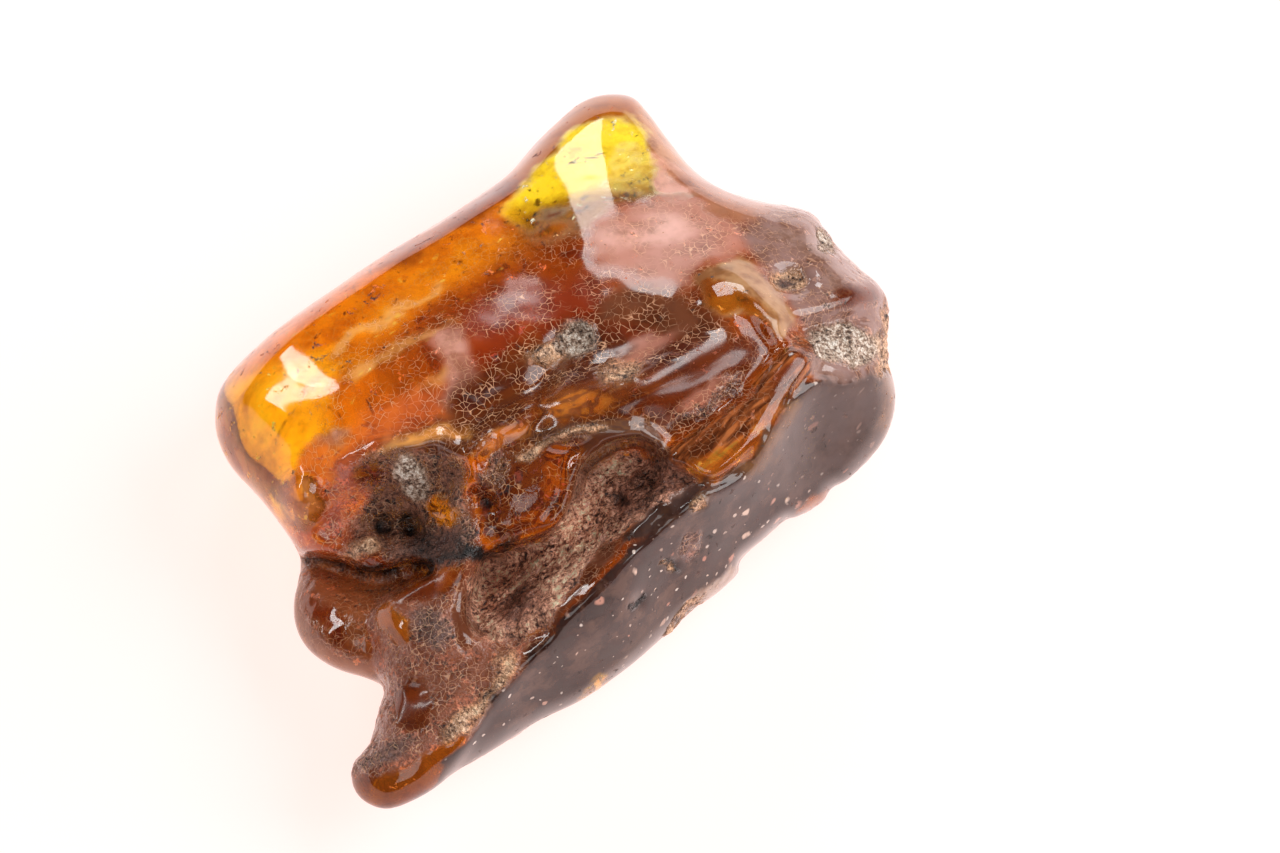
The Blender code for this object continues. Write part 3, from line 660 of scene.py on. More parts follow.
# Finishes: the colour as red, green and blue, and how clear, crusted, crackled, mineral, speckled,
# flecked with gold, fibrous and hazy the skin is, each from 0 to 1. Some finishes are painted
# reflections of the lamps and some are painted shade, as marked.
FINISHES = {
    "clear honey": ((1.0, 0.52, 0.06), {"clear": 0.96, "crackle": 0.10, "fleck": 0.25}),
    "clear gold": ((1.0, 1.0, 0.75), {"clear": 1.0, "fleck": 0.05}),
    "gold fibres": ((1.0, 0.82, 0.30), {"clear": 0.75, "fleck": 1.0, "fibre": 0.30}),
    "deep honey": ((0.66, 0.130, 0.008), {"clear": 0.88, "crackle": 0.25, "fleck": 0.60}),
    "flecked gold": ((0.74, 0.20, 0.015), {"clear": 0.85, "crackle": 0.45, "fleck": 1.0}),
    "cognac": ((0.56, 0.095, 0.006), {"clear": 0.78, "crackle": 0.90, "fleck": 0.30}),
    "seam": ((0.95, 0.42, 0.12), {"clear": 0.35, "crackle": 1.0, "fleck": 0.60}),
    "cherry crackle": ((0.34, 0.032, 0.003), {"clear": 0.50, "crackle": 1.0, "haze": 0.45}),
    "salmon crackle": ((0.95, 0.19, 0.05), {"clear": 0.50, "crackle": 1.0}),
    "amber rim": ((1.0, 0.34, 0.08), {"clear": 0.50}),
    # painted reflection: pale pink patches where the lamps are reflected, over light crackle
    "painted pink reflection": ((0.76, 0.34, 0.25), {"clear": 0.15, "crackle": 0.40, "haze": 0.80}),
    # painted sheen: the pink reflection of the big light, laid over crackled amber
    "crackle under painted sheen": ((0.54, 0.19, 0.12), {"clear": 0.15, "crackle": 0.90, "haze": 1.0}),
    # dark brown crackle with a faint painted sheen, where the big light's reflection fades out
    "brown crackle under faint painted sheen": ((0.19, 0.058, 0.026), {"clear": 0.30, "crackle": 0.85}),
    "brown rim": ((0.30, 0.050, 0.004), {"clear": 0.50}),
    "pink rim": ((0.48, 0.19, 0.10), {"clear": 0.25, "crackle": 0.20}),
    "dark crackle": ((0.11, 0.020, 0.006), {"clear": 0.25, "crust": 0.12, "crackle": 1.0, "haze": 0.30}),
    "brown lobe": ((0.20, 0.032, 0.004), {"clear": 0.50, "crackle": 0.15, "haze": 0.45}),
    "orange lobe": ((0.66, 0.19, 0.05), {"clear": 0.55, "crackle": 0.10}),
    "ember": ((0.38, 0.050, 0.005), {"clear": 0.55, "crackle": 0.55, "fleck": 0.50}),
    "drop": ((0.62, 0.34, 0.16), {"clear": 0.35}),
    "drop core": ((0.72, 0.22, 0.015), {"clear": 0.75, "crackle": 0.10, "fleck": 0.30}),
    "knob": ((0.30, 0.16, 0.13), {"clear": 0.10, "crackle": 0.65, "crust": 0.15}),
    "smooth knob": ((0.34, 0.20, 0.165), {"clear": 0.10, "crackle": 0.15}),
    "mineral": ((0.38, 0.25, 0.18), {"crust": 0.95, "mineral": 0.75}),
    # painted shade: the dark inside pits and recesses, with crusted grains
    "pit": ((0.10, 0.05, 0.04), {"crust": 0.80, "mineral": 0.30}),
    "curtain": ((0.28, 0.075, 0.022), {"clear": 0.35, "crackle": 0.55, "fibre": 1.0}),
    "curtain tip": ((1.0, 0.27, 0.03), {"clear": 0.70, "fleck": 0.60, "fibre": 0.40}),
    "fold": ((0.14, 0.038, 0.016), {"clear": 0.10, "crackle": 0.55}),
    "fold crest": ((0.15, 0.06, 0.035), {"clear": 0.20, "crackle": 0.50}),
    "red fold": ((0.13, 0.018, 0.006), {"clear": 0.40, "crackle": 0.80, "crust": 0.22}),
    "rosy crust": ((0.60, 0.14, 0.08), {"clear": 0.30, "crust": 0.30, "crackle": 1.0}),
    "hollow": ((0.20, 0.085, 0.055), {"clear": 0.25, "crust": 0.60, "crackle": 0.80}),
    # painted shade: black in the holes and in the crevice under the upper flow, with crusted grain
    "painted shade": ((0.006, 0.004, 0.004), {"crust": 0.50}),
    "bark": ((0.84, 0.43, 0.31), {"crust": 1.0}),
    "dark bark": ((0.30, 0.13, 0.09), {"crust": 0.85, "crackle": 0.20}),
    "spur": ((0.34, 0.11, 0.06), {"clear": 0.25, "crust": 0.36, "crackle": 1.0}),
    "pale spur": ((0.20, 0.10, 0.08), {"crust": 0.50, "crackle": 0.80}),
    "beige crust": ((0.58, 0.33, 0.19), {"crust": 0.90, "mineral": 0.45}),
    "spur tip": ((0.62, 0.14, 0.008), {"clear": 0.65}),
    "cut face": ((0.046, 0.018, 0.014), {"clear": 0.03, "speckle": 1.0}),
    "bare cut face": ((0.080, 0.042, 0.034), {"clear": 0.06, "speckle": 0.30}),
    "brown cut edge": ((0.24, 0.11, 0.05), {"clear": 0.30, "speckle": 0.30}),
    "cloudy lip": ((0.48, 0.36, 0.32), {"clear": 0.15, "speckle": 0.10}),
    "under brown": ((0.44, 0.13, 0.05), {"clear": 0.35, "crust": 0.25, "crackle": 0.70}),
    "under honey": ((1.0, 0.60, 0.20), {"clear": 0.92, "crackle": 0.25, "fleck": 0.30}),
}

# Zones of the upper side, in the order they are painted: finish, width of the edge in pixels, and an
# outline, or an ellipse as centre, half length, half width and turn in degrees
UPPER_ZONES = [
    ("deep honey", 24, [
        (190, 420), (240, 320), (420, 200), (560, 80), (680, 90), (690, 190), (600, 215), (560, 250),
        (470, 300), (380, 350), (345, 430), (320, 520), (260, 540)]),
    ("clear honey", 26, [
        (200, 430), (214, 380), (262, 372), (330, 350), (390, 350), (372, 410), (340, 440), (318, 500),
        (290, 540), (250, 500)]),
    ("flecked gold", 16, [
        (396, 296), (430, 258), (500, 236), (556, 226), (580, 242), (548, 262), (500, 270), (456, 290),
        (420, 330), (372, 352), (336, 366), (330, 350)]),
    ("brown rim", 14, [
        (520, 60), (700, 60), (790, 215), (740, 222), (690, 196), (655, 150), (632, 122), (606, 118),
        (575, 140), (540, 172), (500, 206), (440, 244), (400, 268), (390, 240)]),
    ("clear gold", 12, [
        (508, 222), (516, 192), (548, 156), (582, 128), (616, 116), (640, 128), (668, 166), (694, 192),
        (650, 196), (606, 208), (578, 236), (540, 244)]),
    ("amber rim", 16, [
        (196, 380), (222, 400), (232, 440), (262, 484), (292, 528), (304, 560), (270, 560), (220, 500),
        (196, 440)]),
    ("gold fibres", 8, [(626, 144), (656, 160), (668, 188), (630, 196), (604, 192), (612, 168)]),
    ("drop core", 12, (548, 232, 24, 9, -12)),
    ("brown lobe", 8, (552, 214, 13, 5, -20)),
    ("cognac", 36, [
        (318, 400), (400, 320), (500, 262), (575, 238), (612, 262), (600, 330), (520, 372), (440, 416),
        (350, 452)]),
    ("seam", 7, [
        (330, 352), (372, 318), (410, 300), (444, 284), (446, 290), (412, 308), (378, 326), (336, 360)]),
    ("seam", 8, [(350, 372), (396, 344), (450, 318), (452, 325), (400, 352), (356, 380)]),
    ("seam", 8, [
        (382, 440), (404, 404), (440, 372), (478, 340), (484, 346), (448, 380), (412, 410), (392, 442)]),
    ("cherry crackle", 40, [
        (440, 330), (490, 294), (540, 280), (590, 276), (640, 318), (700, 335), (690, 380), (620, 400),
        (560, 440), (500, 410), (470, 410), (452, 372)]),
    ("salmon crackle", 26, [
        (346, 428), (392, 396), (444, 384), (478, 408), (430, 436), (380, 446), (340, 462)]),
    # painted reflection of lamp light on the dome, in two patches
    ("painted pink reflection", 16, [
        (432, 334), (456, 330), (468, 356), (474, 392), (462, 414), (440, 406), (448, 372)]),
    ("painted pink reflection", 12, [(306, 452), (328, 432), (346, 428), (330, 456), (318, 478), (306, 480)]),
    # painted sheen: the big light's pink reflection across the upper right
    ("crackle under painted sheen", 26, [
        (604, 222), (660, 200), (724, 200), (766, 222), (784, 250), (740, 256), (704, 262), (690, 290),
        (640, 276), (600, 262)]),
    # dark brown crackle under the fading painted sheen, below it
    ("brown crackle under faint painted sheen", 26, [
        (600, 292), (640, 284), (690, 296), (724, 326), (748, 336), (720, 352), (640, 330), (600, 328)]),
    # painted reflection of lamp light, in two more patches
    ("painted pink reflection", 14, (650, 232, 48, 12, -10)),
    ("painted pink reflection", 8, [(652, 150), (672, 160), (692, 184), (684, 194), (658, 188)]),
    ("pink rim", 12, [
        (640, 96), (664, 126), (700, 166), (760, 192), (816, 208), (826, 226), (790, 218), (740, 220),
        (700, 202), (668, 166), (644, 130)]),
    ("dark crackle", 30, [
        (440, 404), (520, 338), (570, 322), (640, 334), (740, 344), (766, 354), (730, 400), (690, 430),
        (640, 440), (560, 450), (480, 450)]),
    ("brown lobe", 12, (690, 376, 76, 20, -30)),
    ("brown lobe", 16, (586, 400, 60, 20, -14)),
    ("orange lobe", 8, (582, 404, 34, 12, -10)),
    ("beige crust", 10, (548, 352, 17, 10, -20)),
    ("mineral", 10, (576, 338, 20, 15, -22)),
    ("beige crust", 12, (622, 368, 15, 11, -30)),
    # painted sheen: a narrow strip of the pale reflection
    ("crackle under painted sheen", 14, (648, 346, 30, 9, -28)),
    ("hollow", 12, (706, 400, 40, 12, -34)),
    # painted sheen: another narrow strip of the pale reflection
    ("crackle under painted sheen", 12, (694, 402, 34, 7, -34)),
    ("drop", 6, [
        (698, 292), (702, 274), (722, 258), (746, 260), (768, 280), (790, 310), (793, 330), (780, 334),
        (756, 320), (724, 318), (704, 308)]),
    ("drop core", 7, (725, 299, 24, 16, 8)),
    ("drop core", 8, (750, 308, 16, 9, 40)),
    ("knob", 20, [
        (748, 216), (800, 204), (850, 240), (910, 300), (910, 390), (830, 384), (802, 350), (796, 320),
        (770, 280), (746, 248)]),
    ("smooth knob", 12, (800, 242, 34, 13, 26)),
    ("smooth knob", 10, (838, 285, 20, 12, 70)),
    ("brown lobe", 10, (858, 296, 26, 12, -16)),
    ("mineral", 10, (845, 345, 40, 17, 6)),
    ("smooth knob", 8, (820, 368, 34, 7, 14)),
    ("beige crust", 12, (888, 350, 10, 46, 0)),
    ("beige crust", 8, (788, 281, 19, 12, 15)),
    # painted shade inside the pit on the knob
    ("pit", 6, (786, 282, 11, 7, 15)),
    ("mineral", 7, (826, 240, 8, 12, -30)),
    ("curtain", 8, [
        (806, 342), (782, 350), (762, 372), (750, 392), (728, 410), (700, 428), (668, 450), (684, 470),
        (712, 486), (744, 466), (768, 438), (790, 406), (808, 380), (818, 358)]),
    ("brown lobe", 9, (790, 372, 24, 7, -52)),
    ("curtain tip", 9, [
        (782, 400), (758, 424), (728, 444), (694, 458), (688, 470), (710, 484), (744, 466), (770, 436)]),
    ("fold", 10, [
        (540, 432), (580, 430), (640, 424), (660, 440), (680, 470), (664, 474), (640, 452), (606, 460),
        (586, 484), (578, 508), (556, 534), (540, 530), (566, 496), (570, 470), (580, 446)]),
    ("fold crest", 8, [
        (478, 442), (520, 428), (580, 424), (636, 418), (660, 434), (672, 456), (650, 446), (620, 438),
        (580, 440), (530, 440), (490, 452)]),
    ("red fold", 12, [
        (480, 470), (510, 448), (560, 444), (576, 456), (566, 496), (548, 528), (512, 544), (486, 540),
        (478, 510)]),
    ("ember", 10, (556, 470, 14, 26, 20)),
    ("ember", 10, (534, 522, 26, 10, -14)),
    ("hollow", 12, (494, 470, 18, 12, -40)),
    ("beige crust", 7, [(520, 452), (560, 434), (600, 430), (600, 435), (562, 440), (524, 459)]),
    ("orange lobe", 12, (508, 438, 30, 8, -24)),
    ("fold", 16, (430, 446, 50, 22, -20)),
    ("seam", 7, [(372, 456), (400, 440), (440, 428), (470, 430), (440, 436), (404, 447), (376, 462)]),
    ("salmon crackle", 18, [
        (290, 472), (316, 440), (350, 462), (348, 520), (330, 552), (302, 552), (286, 520)]),
    ("hollow", 14, [
        (350, 470), (380, 450), (430, 452), (462, 466), (470, 500), (474, 548), (452, 566), (410, 562),
        (370, 566), (344, 540)]),
    ("rosy crust", 12, (343, 502, 20, 42, 10)),
    ("red fold", 12, (372, 474, 18, 12, -20)),
    # painted shade in the deepest part of the hollow
    ("pit", 14, (436, 544, 34, 15, -8)),
    ("mineral", 8, (413, 480, 15, 24, -24)),
    ("drop core", 6, (442, 512, 17, 12, 0)),
    ("beige crust", 9, (362, 548, 18, 9, -10)),
    ("ember", 8, (376, 563, 14, 8, 10)),
    # painted shade in two holes of the hollow
    ("painted shade", 6, (384, 527, 8, 9, 0)),
    ("painted shade", 6, (409, 524, 8, 9, 0)),
    ("drop core", 6, (300, 499, 18, 27, -8)),
    ("amber rim", 6, (300, 500, 13, 21, -8)),
    # painted shade: the dark crevice under the upper flow
    ("painted shade", 7, [
        (300, 556), (350, 562), (400, 564), (440, 556), (470, 546), (500, 546), (524, 540), (500, 558),
        (470, 572), (430, 576), (400, 584), (350, 576), (300, 566)]),
    ("under brown", 10, [
        (288, 562), (350, 570), (398, 586), (376, 610), (370, 640), (384, 690), (330, 690), (280, 640),
        (280, 590)]),
    ("pink rim", 8, [
        (278, 560), (298, 562), (300, 600), (312, 636), (340, 662), (386, 678), (386, 700), (320, 690),
        (270, 640)]),
    ("ember", 8, (332, 624, 28, 9, 52)),
    ("spur", 10, [
        (440, 566), (476, 560), (474, 600), (490, 636), (540, 632), (552, 644), (500, 700), (440, 780),
        (360, 800), (346, 760), (378, 700), (372, 610), (400, 582)]),
    ("brown lobe", 10, (432, 584, 36, 11, -22)),
    ("drop core", 6, (394, 626, 11, 20, -24)),
    ("pale spur", 14, (432, 628, 26, 20, 30)),
    ("fold", 10, (466, 620, 12, 34, -10)),
    ("brown lobe", 10, (412, 708, 16, 26, 20)),
    ("beige crust", 10, [
        (484, 694), (498, 664), (516, 652), (498, 690), (470, 722), (448, 742), (442, 728)]),
    ("pale spur", 10, (388, 752, 28, 11, -22)),
    ("spur tip", 8, [
        (436, 748), (462, 728), (450, 790), (380, 830), (350, 806), (352, 778), (386, 776), (416, 764)]),
    ("bark", 10, [
        (470, 590), (486, 564), (540, 540), (566, 516), (590, 474), (612, 458), (644, 462), (668, 480),
        (690, 488), (672, 506), (640, 520), (618, 536), (590, 566), (562, 600), (540, 628), (500, 640),
        (476, 626)]),
    ("dark bark", 16, [(640, 462), (700, 476), (694, 494), (656, 496), (626, 520), (606, 500)]),
    ("dark bark", 14, (520, 606, 26, 14, -30)),
    ("fold", 10, [
        (620, 540), (598, 552), (574, 584), (548, 616), (534, 644), (516, 664), (532, 660), (566, 614),
        (602, 572)]),
    ("bare cut face", 8, [
        (716, 476), (690, 486), (660, 502), (630, 528), (618, 552), (660, 530), (700, 496)]),
    # painted shade in two small holes
    ("painted shade", 5, (618, 501, 6, 5, 0)),
    ("painted shade", 5, (488, 503, 6, 6, 0)),
    ("cut face", 4, CUT_FACE_PX),
    ("bare cut face", 26, [(776, 420), (820, 384), (890, 380), (896, 440), (820, 490), (760, 480)]),
    ("bare cut face", 22, [(700, 590), (640, 640), (560, 700), (440, 780), (520, 740), (700, 610)]),
    ("brown cut edge", 10, [
        (786, 404), (772, 432), (752, 460), (722, 480), (760, 470), (784, 440), (800, 404)]),
    ("brown cut edge", 12, [(896, 380), (898, 440), (870, 468), (880, 430), (882, 384)]),
    ("beige crust", 5, (699, 504, 10, 5, -60)),
    ("pale spur", 6, (690, 544, 15, 7, -66)),
    # painted shade in a small hole
    ("painted shade", 5, (672, 565, 5, 4, 0)),
    ("beige crust", 4, (667, 566, 3, 3, 0)),
    # painted shade in a small hole
    ("painted shade", 4, (640, 601, 8, 4, -55)),
    ("cloudy lip", 7, [(690, 602), (716, 582), (746, 558), (742, 584), (716, 604), (690, 616)]),
    ("beige crust", 6, [(664, 642), (672, 620), (700, 600), (716, 600), (690, 622)]),
    ("orange lobe", 5, (816, 503, 20, 6, -30)),
    ("clear honey", 5, (592, 688, 20, 6, -32)),
]

# Zones of the underside, seen from above through the stone
UNDER_ZONES = [
    ("under honey", 50, [
        (190, 440), (240, 330), (420, 210), (540, 140), (530, 300), (430, 400), (380, 480), (330, 570),
        (220, 540)]),
    ("clear gold", 26, [
        (500, 260), (530, 180), (590, 120), (650, 120), (710, 200), (650, 240), (560, 270)]),
    ("dark bark", 60, (570, 480, 110, 56, -30)),
]


def smoothstep(values, low, high):
    t = np.clip((values - low) / (high - low), 0, 1)
    return t * t * (3 - 2 * t)


def zone_mask(zone, edge_px):
    """1 inside a zone and 0 outside it, with a soft edge."""
    if isinstance(zone, list):
        depth = depth_inside(zone) * PIXELS_PER_MM
    else:
        depth = (1 - np.hypot(*in_ellipse(*zone))) * min(zone[2:4])
    return smoothstep(depth, -edge_px / 2, edge_px / 2)


def finish_values(name):
    colour, masks = FINISHES[name]
    return [*colour] + [masks.get(mask, 0.0) for mask in MASKS]


def painted(first, zones):
    """Maps of a finish's colour and masks, where each zone is painted over those before it."""
    layers = [np.full(GRID_X.shape, value, float) for value in finish_values(first)]
    for finish, edge_px, zone in zones:
        mask = zone_mask(zone, edge_px)
        for k, value in enumerate(finish_values(finish)):
            layers[k] = layers[k] * (1 - mask) + value * mask
    return layers


def noise_at(points, size_mm):
    """Three smooth random values at each point, from -1 to 1."""
    return np.array([noise.noise_vector(p) for p in map(Vector, points / size_mm)])


def paint(mesh):
    """Keeps the finish of each vertex in the mesh's attributes, which the material reads."""
    points, normals = read_points(mesh), read_normals(mesh)
    wobble = noise_at(points, WOBBLE_SIZE_MM)[:, :2] * WOBBLE_PX
    wobble += noise_at(points, FINE_WOBBLE_SIZE_MM)[:, :2] * FINE_WOBBLE_PX
    x, y = on_map(points)
    x, y = x + wobble[:, 0], y + wobble[:, 1]
    seen = smoothstep(normals @ -LOOK, *SEEN_FROM_TO)
    values = []
    for upper, under in zip(painted("cognac", UPPER_ZONES), painted("under brown", UNDER_ZONES)):
        values.append(read_map(upper, x, y) * seen + read_map(under, x, y) * (1 - seen))
    tone = np.stack(values[:3] + [np.ones(len(x))], 1)
    attribute = mesh.attributes.new("tone", "FLOAT_COLOR", "POINT")
    attribute.data.foreach_set("color", tone.ravel())
    for name, value in zip(MASKS, values[3:]):
        attribute = mesh.attributes.new(name, "FLOAT", "POINT")
        attribute.data.foreach_set("value", value)
    return dict(zip(MASKS, values[3:]))


def roughen(mesh, masks):
    """Grains and pits along the normals where the skin is crusted, low waves where it is crackled."""
    points, normals = read_points(mesh), read_normals(mesh)
    raise_by = np.zeros(len(points))
    for size_mm, height_mm in GRAINS_MM:
        grains = noise_at(points, size_mm)
        raise_by += height_mm * (np.abs(grains[:, 0]) * GRAIN_GAIN - GRAIN_SINK)
    size_mm, height_mm = WAVES_MM
    waves = height_mm * noise_at(points, size_mm)[:, 0]
    points += normals * (raise_by * masks["crust"] + waves * masks["crackle"])[:, None]
    write_points(mesh, points)


def fine_stone():
    """The stone's skin at its real shape, much finer than the solid."""
    noise.seed_set(NOISE_SEED)
    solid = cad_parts["amber_stone"]
    bpy.ops.object.select_all(action="DESELECT")
    obj = solid.copy()
    obj.data = solid.data.copy()
    obj.name = "amber_stone_skin"
    obj.parent = None
    for key in list(obj.keys()):
        del obj[key]
    bpy.context.scene.collection.objects.link(obj)
    bpy.context.view_layer.objects.active = obj
    obj.select_set(True)
    bpy.ops.object.mode_set(mode="EDIT")
    bpy.ops.mesh.select_all(action="SELECT")
    bpy.ops.mesh.remove_doubles(threshold=WELD_M)
    bpy.ops.object.mode_set(mode="OBJECT")
    write_points(obj.data, read_points(obj.data) / MM)
    stone = Stone()
    apply_modifier(obj, "REMESH", mode="VOXEL", voxel_size=SKIN_STEP_MM)
    settle(obj, stone)
    apply_modifier(obj, "SMOOTH", factor=SMOOTH_SHARE, iterations=SMOOTH_ROUNDS)
    settle(obj, stone)
    wear_tip(obj)
    masks = paint(obj.data)
    add_lumps(obj)
    roughen(obj.data, masks)
    press_flat(obj)
    write_points(obj.data, read_points(obj.data) * MM)
    obj.data.shade_smooth()
    return obj


class Nodes:
    """Short calls for building a material's node tree."""

    def __init__(self, material):
        self.tree = material.node_tree
        self.shader = self.tree.nodes["Principled BSDF"]
        self.place = self.add("ShaderNodeTexCoord").outputs["Object"]
        self.wavy = self.warped(*WAVY_WARP_MM)
        self.grain = self.noise(GRAIN_MM, self.warped(*GRAIN_WARP_MM), detail=4.0, roughness=0.75)
        self.patches = self.noise(PATCH_MM, detail=3.0, roughness=0.6)

    def add(self, kind, settings=None, **values):
        node = self.tree.nodes.new(kind)
        for name, value in (settings or {}).items():
            setattr(node, name, value)
        for name, value in values.items():
            self.feed(node.inputs[name.replace("_", " ")], value)
        return node

    def feed(self, socket, value):
        if isinstance(value, bpy.types.NodeSocket):
            self.tree.links.new(value, socket)
        elif isinstance(value, tuple) and len(value) == 3 and socket.type == "RGBA":
            socket.default_value = (*value, 1)
        else:
            socket.default_value = value

    def mask(self, name):
        return self.add("ShaderNodeAttribute", {"attribute_name": name}).outputs["Fac"]

    def maths(self, operation, a, b=0.0, clamp=False):
        node = self.add("ShaderNodeMath", {"operation": operation, "use_clamp": clamp})
        self.feed(node.inputs[0], a)
        self.feed(node.inputs[1], b)
        return node.outputs[0]

    def spread(self, value, low, high, to_low=0.0, to_high=1.0):
        """A value's range from low to high, stretched to another range."""
        node = self.add("ShaderNodeMapRange", Value=value)
        for name, edge in zip(("From Min", "From Max", "To Min", "To Max"),
                              (low, high, to_low, to_high)):
            self.feed(node.inputs[name], edge)
        return node.outputs["Result"]

    def noise(self, size_mm, place=None, detail=2.0, roughness=0.5):
        node = self.add("ShaderNodeTexNoise", Vector=place or self.place, Scale=1 / (size_mm * MM),
                        Detail=detail, Roughness=roughness)
        return node.outputs["Fac"]

    def cells(self, size_mm, place=None, feature="F1"):
        settings = {"feature": feature}
        return self.add("ShaderNodeTexVoronoi", settings, Vector=place or self.place,
                        Scale=1 / (size_mm * MM))

    def warped(self, size_mm, by_mm):
        """Object coordinates pushed about by noise, for lines that aren't straight."""
        node = self.add("ShaderNodeTexNoise", Vector=self.place, Scale=1 / (size_mm * MM), Detail=0.0)
        centred = self.add("ShaderNodeVectorMath", {"operation": "SUBTRACT"})
        self.feed(centred.inputs[0], node.outputs["Color"])
        self.feed(centred.inputs[1], (0.5, 0.5, 0.5))
        push = self.add("ShaderNodeVectorMath", {"operation": "MULTIPLY_ADD"})
        self.feed(push.inputs[0], centred.outputs[0])
        self.feed(push.inputs[1], (by_mm * MM,) * 3)
        self.feed(push.inputs[2], self.place)
        return push.outputs[0]

    def stretched(self, way, share, place=None):
        """Object coordinates squeezed along a direction, so that a pattern runs that way."""
        place = place or self.place
        along = self.add("ShaderNodeVectorMath", {"operation": "DOT_PRODUCT"})
        self.feed(along.inputs[0], place)
        self.feed(along.inputs[1], way)
        back = self.add("ShaderNodeVectorMath", {"operation": "SCALE"})
        self.feed(back.inputs[0], way)
        self.feed(back.inputs["Scale"], self.maths("MULTIPLY", along.outputs["Value"], -share))
        total = self.add("ShaderNodeVectorMath", {"operation": "ADD"})
        self.feed(total.inputs[0], place)
        self.feed(total.inputs[1], back.outputs[0])
        return total.outputs[0]

    def blend(self, share, a, b, kind="MIX"):
        settings = {"data_type": "RGBA", "blend_type": kind, "clamp_result": True}
        node = self.add("ShaderNodeMix", settings)
        self.feed(node.inputs["Factor"], share)
        colours = [s for s in node.inputs if s.type == "RGBA"]
        self.feed(colours[0], a)
        self.feed(colours[1], b)
        return next(s for s in node.outputs if s.type == "RGBA")

    def ramp(self, value, stops):
        """A colour read off a strip of colours at the stops."""
        node = self.add("ShaderNodeValToRGB", Fac=value)
        strip = node.color_ramp.elements
        while len(strip) < len(stops):
            strip.new(1.0)
        for element, (place, colour) in zip(strip, stops):
            element.position = place
            element.color = (*colour, 1)
        return node.outputs["Color"]


def crackle_lines(n):
    """The net of fine pale cracks, broken up so that it comes and goes."""
    edge = n.cells(CRACKLE_CELL_MM, n.wavy, "DISTANCE_TO_EDGE").outputs["Distance"]
    patches = n.spread(n.patches, *CRACKED_PATCH_FROM_TO)
    lines = n.maths("MULTIPLY", n.spread(edge, *CRACK_FROM_TO), patches)
    return n.maths("MULTIPLY", lines, n.mask("crackle"), clamp=True)


def crust_colour(n, tone):
    """Weathered grains: very dark, brown and beige bits side by side, round the tone of the place."""
    patchy = n.maths("MULTIPLY", n.maths("SUBTRACT", n.patches, 0.5), CRUST_PATCHINESS)
    return n.blend(1.0, tone, n.ramp(n.maths("ADD", n.grain, patchy), CRUST_STOPS), "MULTIPLY")


def with_specks(n, colour, size_mm, chosen_from, reach, low, high):
    """Specks in the colour, from tiny ones up to a share of the cell they are in."""
    cell = n.cells(size_mm, n.wavy)
    parts = n.add("ShaderNodeSeparateColor", Color=cell.outputs["Color"])
    chosen = n.spread(parts.outputs[0], chosen_from, chosen_from + CHOSEN_STEP)
    large = n.maths("POWER", parts.outputs[2], SPECK_RARITY)
    widest = n.spread(large, 0.0, 1.0, reach * LEAST_SPECK_SHARE, reach)
    spot = n.spread(n.maths("DIVIDE", cell.outputs["Distance"], widest), *SPECK_FROM_TO)
    share = n.maths("MULTIPLY", n.maths("MULTIPLY", chosen, spot), n.mask("speckle"))
    return n.blend(share, colour, n.blend(parts.outputs[1], low, high))


def speckled(n, colour):
    """Pale and rusty specks of many sizes, and soft clouds, on the polished cut face."""
    clouds = n.noise(CLOUD_MM, n.wavy, detail=4.0, roughness=0.66)
    cloudy = colour
    for share, cloud_colour in CLOUDS:
        cloudy = n.blend(n.spread(clouds, *share), cloudy, cloud_colour)
    body = n.blend(n.mask("speckle"), colour, cloudy)
    for specks in SPECKS:
        body = with_specks(n, body, *specks)
    return body


def flecked(n, colour):
    """Golden flecks along the fissures inside the dome, and a few dark specks."""
    cell = n.cells(FLECK_MM, n.stretched(FISSURE_WAY, FISSURE_STRETCH, n.wavy))
    parts = n.add("ShaderNodeSeparateColor", Color=cell.outputs["Color"])
    chosen = n.spread(parts.outputs[0], *FLECK_CHOSEN_FROM_TO)
    spot = n.spread(cell.outputs["Distance"], *FLECK_FROM_TO)
    share = n.maths("MULTIPLY", n.maths("MULTIPLY", chosen, spot), n.mask("fleck"))
    share = n.maths("MULTIPLY", share, n.spread(n.patches, *FLECKED_PATCH_FROM_TO))
    dark = n.spread(parts.outputs[1], *DARK_CHOSEN_FROM_TO)
    return n.blend(share, colour, n.blend(dark, GOLD_FLECK, DARK_FLECK)), share


def fibrous(n, colour):
    """Lighter and darker threads that run down the curtain."""
    run_down = n.stretched(THREAD_WAY, THREAD_STRETCH, n.warped(*THREAD_WARP_MM))
    shades = n.ramp(n.noise(THREAD_MM, run_down, detail=3.0), THREAD_STOPS)
    return n.blend(n.mask("fibre"), colour, n.blend(1.0, colour, shades, "MULTIPLY"))


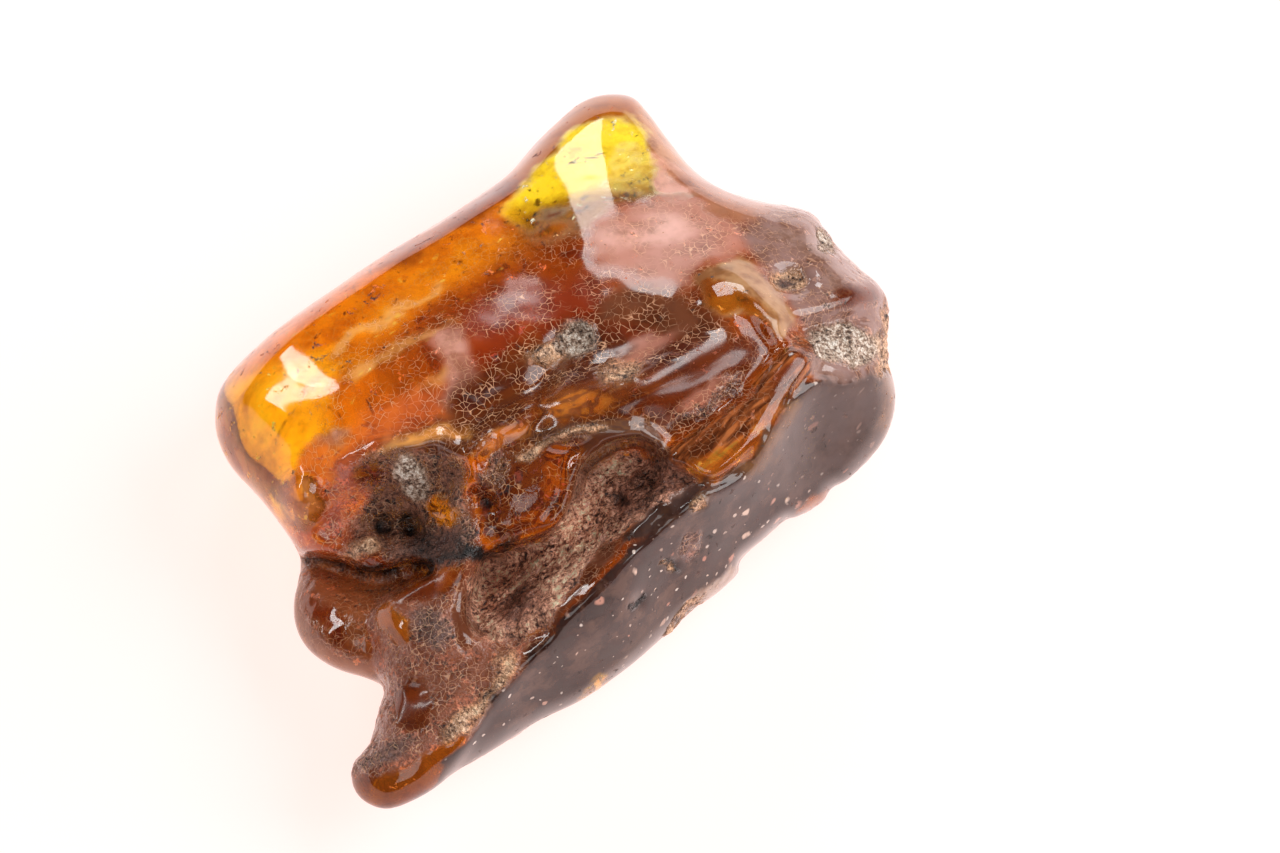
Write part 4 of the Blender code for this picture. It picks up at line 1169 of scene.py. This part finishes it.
def amber_material():
    material = bpy.data.materials.new("amber")
    material.use_nodes = True
    n = Nodes(material)
    tone = n.add("ShaderNodeAttribute", {"attribute_name": "tone"}).outputs["Color"]
    crust, mineral, clear = n.mask("crust"), n.mask("mineral"), n.mask("clear")
    ragged = n.spread(n.noise(RAG_MM, n.wavy, detail=4.0, roughness=0.7), *RAG_FROM_TO)
    crusted = n.spread(n.maths("ADD", crust, ragged), *CRUST_FROM_TO)
    lines = crackle_lines(n)
    body = n.blend(1.0, tone, n.ramp(n.patches, MOTTLE_STOPS), "MULTIPLY")
    body = fibrous(n, body)
    body = speckled(n, body)
    body, flecks = flecked(n, body)
    body = n.blend(crusted, body, crust_colour(n, tone))
    pale = n.maths("MULTIPLY", n.spread(mineral, *MINERAL_FROM_TO), crusted)
    body = n.blend(pale, body, n.ramp(n.grain, MINERAL_STOPS))
    body = n.blend(n.maths("MULTIPLY", lines, CRACK_COVER), body, CRACKLE_COLOUR)
    opaque = n.maths("MAXIMUM", crusted, n.maths("MULTIPLY", lines, CRACK_SHADE))
    opaque = n.maths("MAXIMUM", opaque, n.maths("MULTIPLY", flecks, FLECK_SHADE))
    passing = n.maths("MULTIPLY", clear, n.maths("SUBTRACT", 1.0, opaque, clamp=True), clamp=True)
    shader = n.shader.inputs
    n.feed(shader["Base Color"], body)
    n.feed(shader["Transmission Weight"], passing)
    polish = n.spread(n.mask("haze"), 0.0, 1.0, POLISH_ROUGHNESS, HAZE_ROUGHNESS)
    n.feed(shader["Roughness"], n.spread(crusted, 0.0, 1.0, polish, CRUST_ROUGHNESS))
    shader["IOR"].default_value = AMBER_IOR
    rough = n.noise(BUMP_MM, detail=2.0, roughness=0.7)
    height = n.maths("MULTIPLY", rough, n.spread(crust, *BUMP_FROM_TO))
    bump = n.add("ShaderNodeBump", Height=height, Distance=BUMP_HEIGHT_M, Strength=BUMP_STRENGTH)
    n.feed(shader["Normal"], bump.outputs[0])
    soak = n.add("ShaderNodeVolumeAbsorption", Color=AMBER_SOAK, Density=AMBER_DENSITY)
    output = n.tree.nodes["Material Output"]
    n.tree.links.new(soak.outputs[0], output.inputs["Volume"])
    return material


def make_stone():
    stone = fine_stone()
    stone.data.materials.clear()
    stone.data.materials.append(amber_material())
    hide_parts("amber_stone")
    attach(stone, "root")


def make_floor():
    bpy.ops.mesh.primitive_plane_add(size=FLOOR_SIZE, location=(0, 0, 0))
    floor = bpy.context.object
    floor.name = "pale_floor"
    material = bpy.data.materials.new("pale_floor")
    material.use_nodes = True
    shader = material.node_tree.nodes["Principled BSDF"].inputs
    shader["Base Color"].default_value = (*FLOOR_COLOUR, 1)
    shader["Emission Color"].default_value = (*FLOOR_GLOW_COLOUR, 1)
    shader["Emission Strength"].default_value = FLOOR_GLOW
    shader["Roughness"].default_value = FLOOR_ROUGHNESS
    shader["Specular IOR Level"].default_value = 0.0
    floor.data.materials.append(material)


def make_panel(name, direction, width, height, turn, power):
    """A soft panel light that faces the stone from a direction, turned so many degrees."""
    light = bpy.data.lights.new(name, "AREA")
    light.shape = "RECTANGLE"
    light.size = width
    light.size_y = height
    light.energy = power
    panel = bpy.data.objects.new(name, light)
    away = Vector(direction).normalized()
    panel.location = away * PANEL_DISTANCE + Vector((0, 0, PANEL_AIM_HEIGHT))
    spin = Quaternion((0, 0, 1), math.radians(turn))
    panel.rotation_euler = (away.to_track_quat("Z", "Y") @ spin).to_euler()
    bpy.context.scene.collection.objects.link(panel)


def make_light():
    world = bpy.data.worlds.new("studio")
    world.use_nodes = True
    world.node_tree.nodes["Background"].inputs["Color"].default_value = (1, 1, 1, 1)
    world.node_tree.nodes["Background"].inputs["Strength"].default_value = WORLD_STRENGTH
    bpy.context.scene.world = world
    for panel in PANELS:
        make_panel(*panel)


def make_camera():
    data = bpy.data.cameras.new("camera")
    data.lens = LENS_MM
    data.sensor_width = SENSOR_MM
    data.clip_start = NEAREST_SEEN
    camera = bpy.data.objects.new("camera", data)
    camera.location = EYE_MM * MM
    camera.rotation_euler = (math.pi / 2 - FACE_TILT, 0, 0)
    bpy.context.scene.collection.objects.link(camera)
    bpy.context.scene.camera = camera
    bpy.context.scene.view_settings.view_transform = "Standard"


make_camera()
make_light()
make_floor()
make_stone()
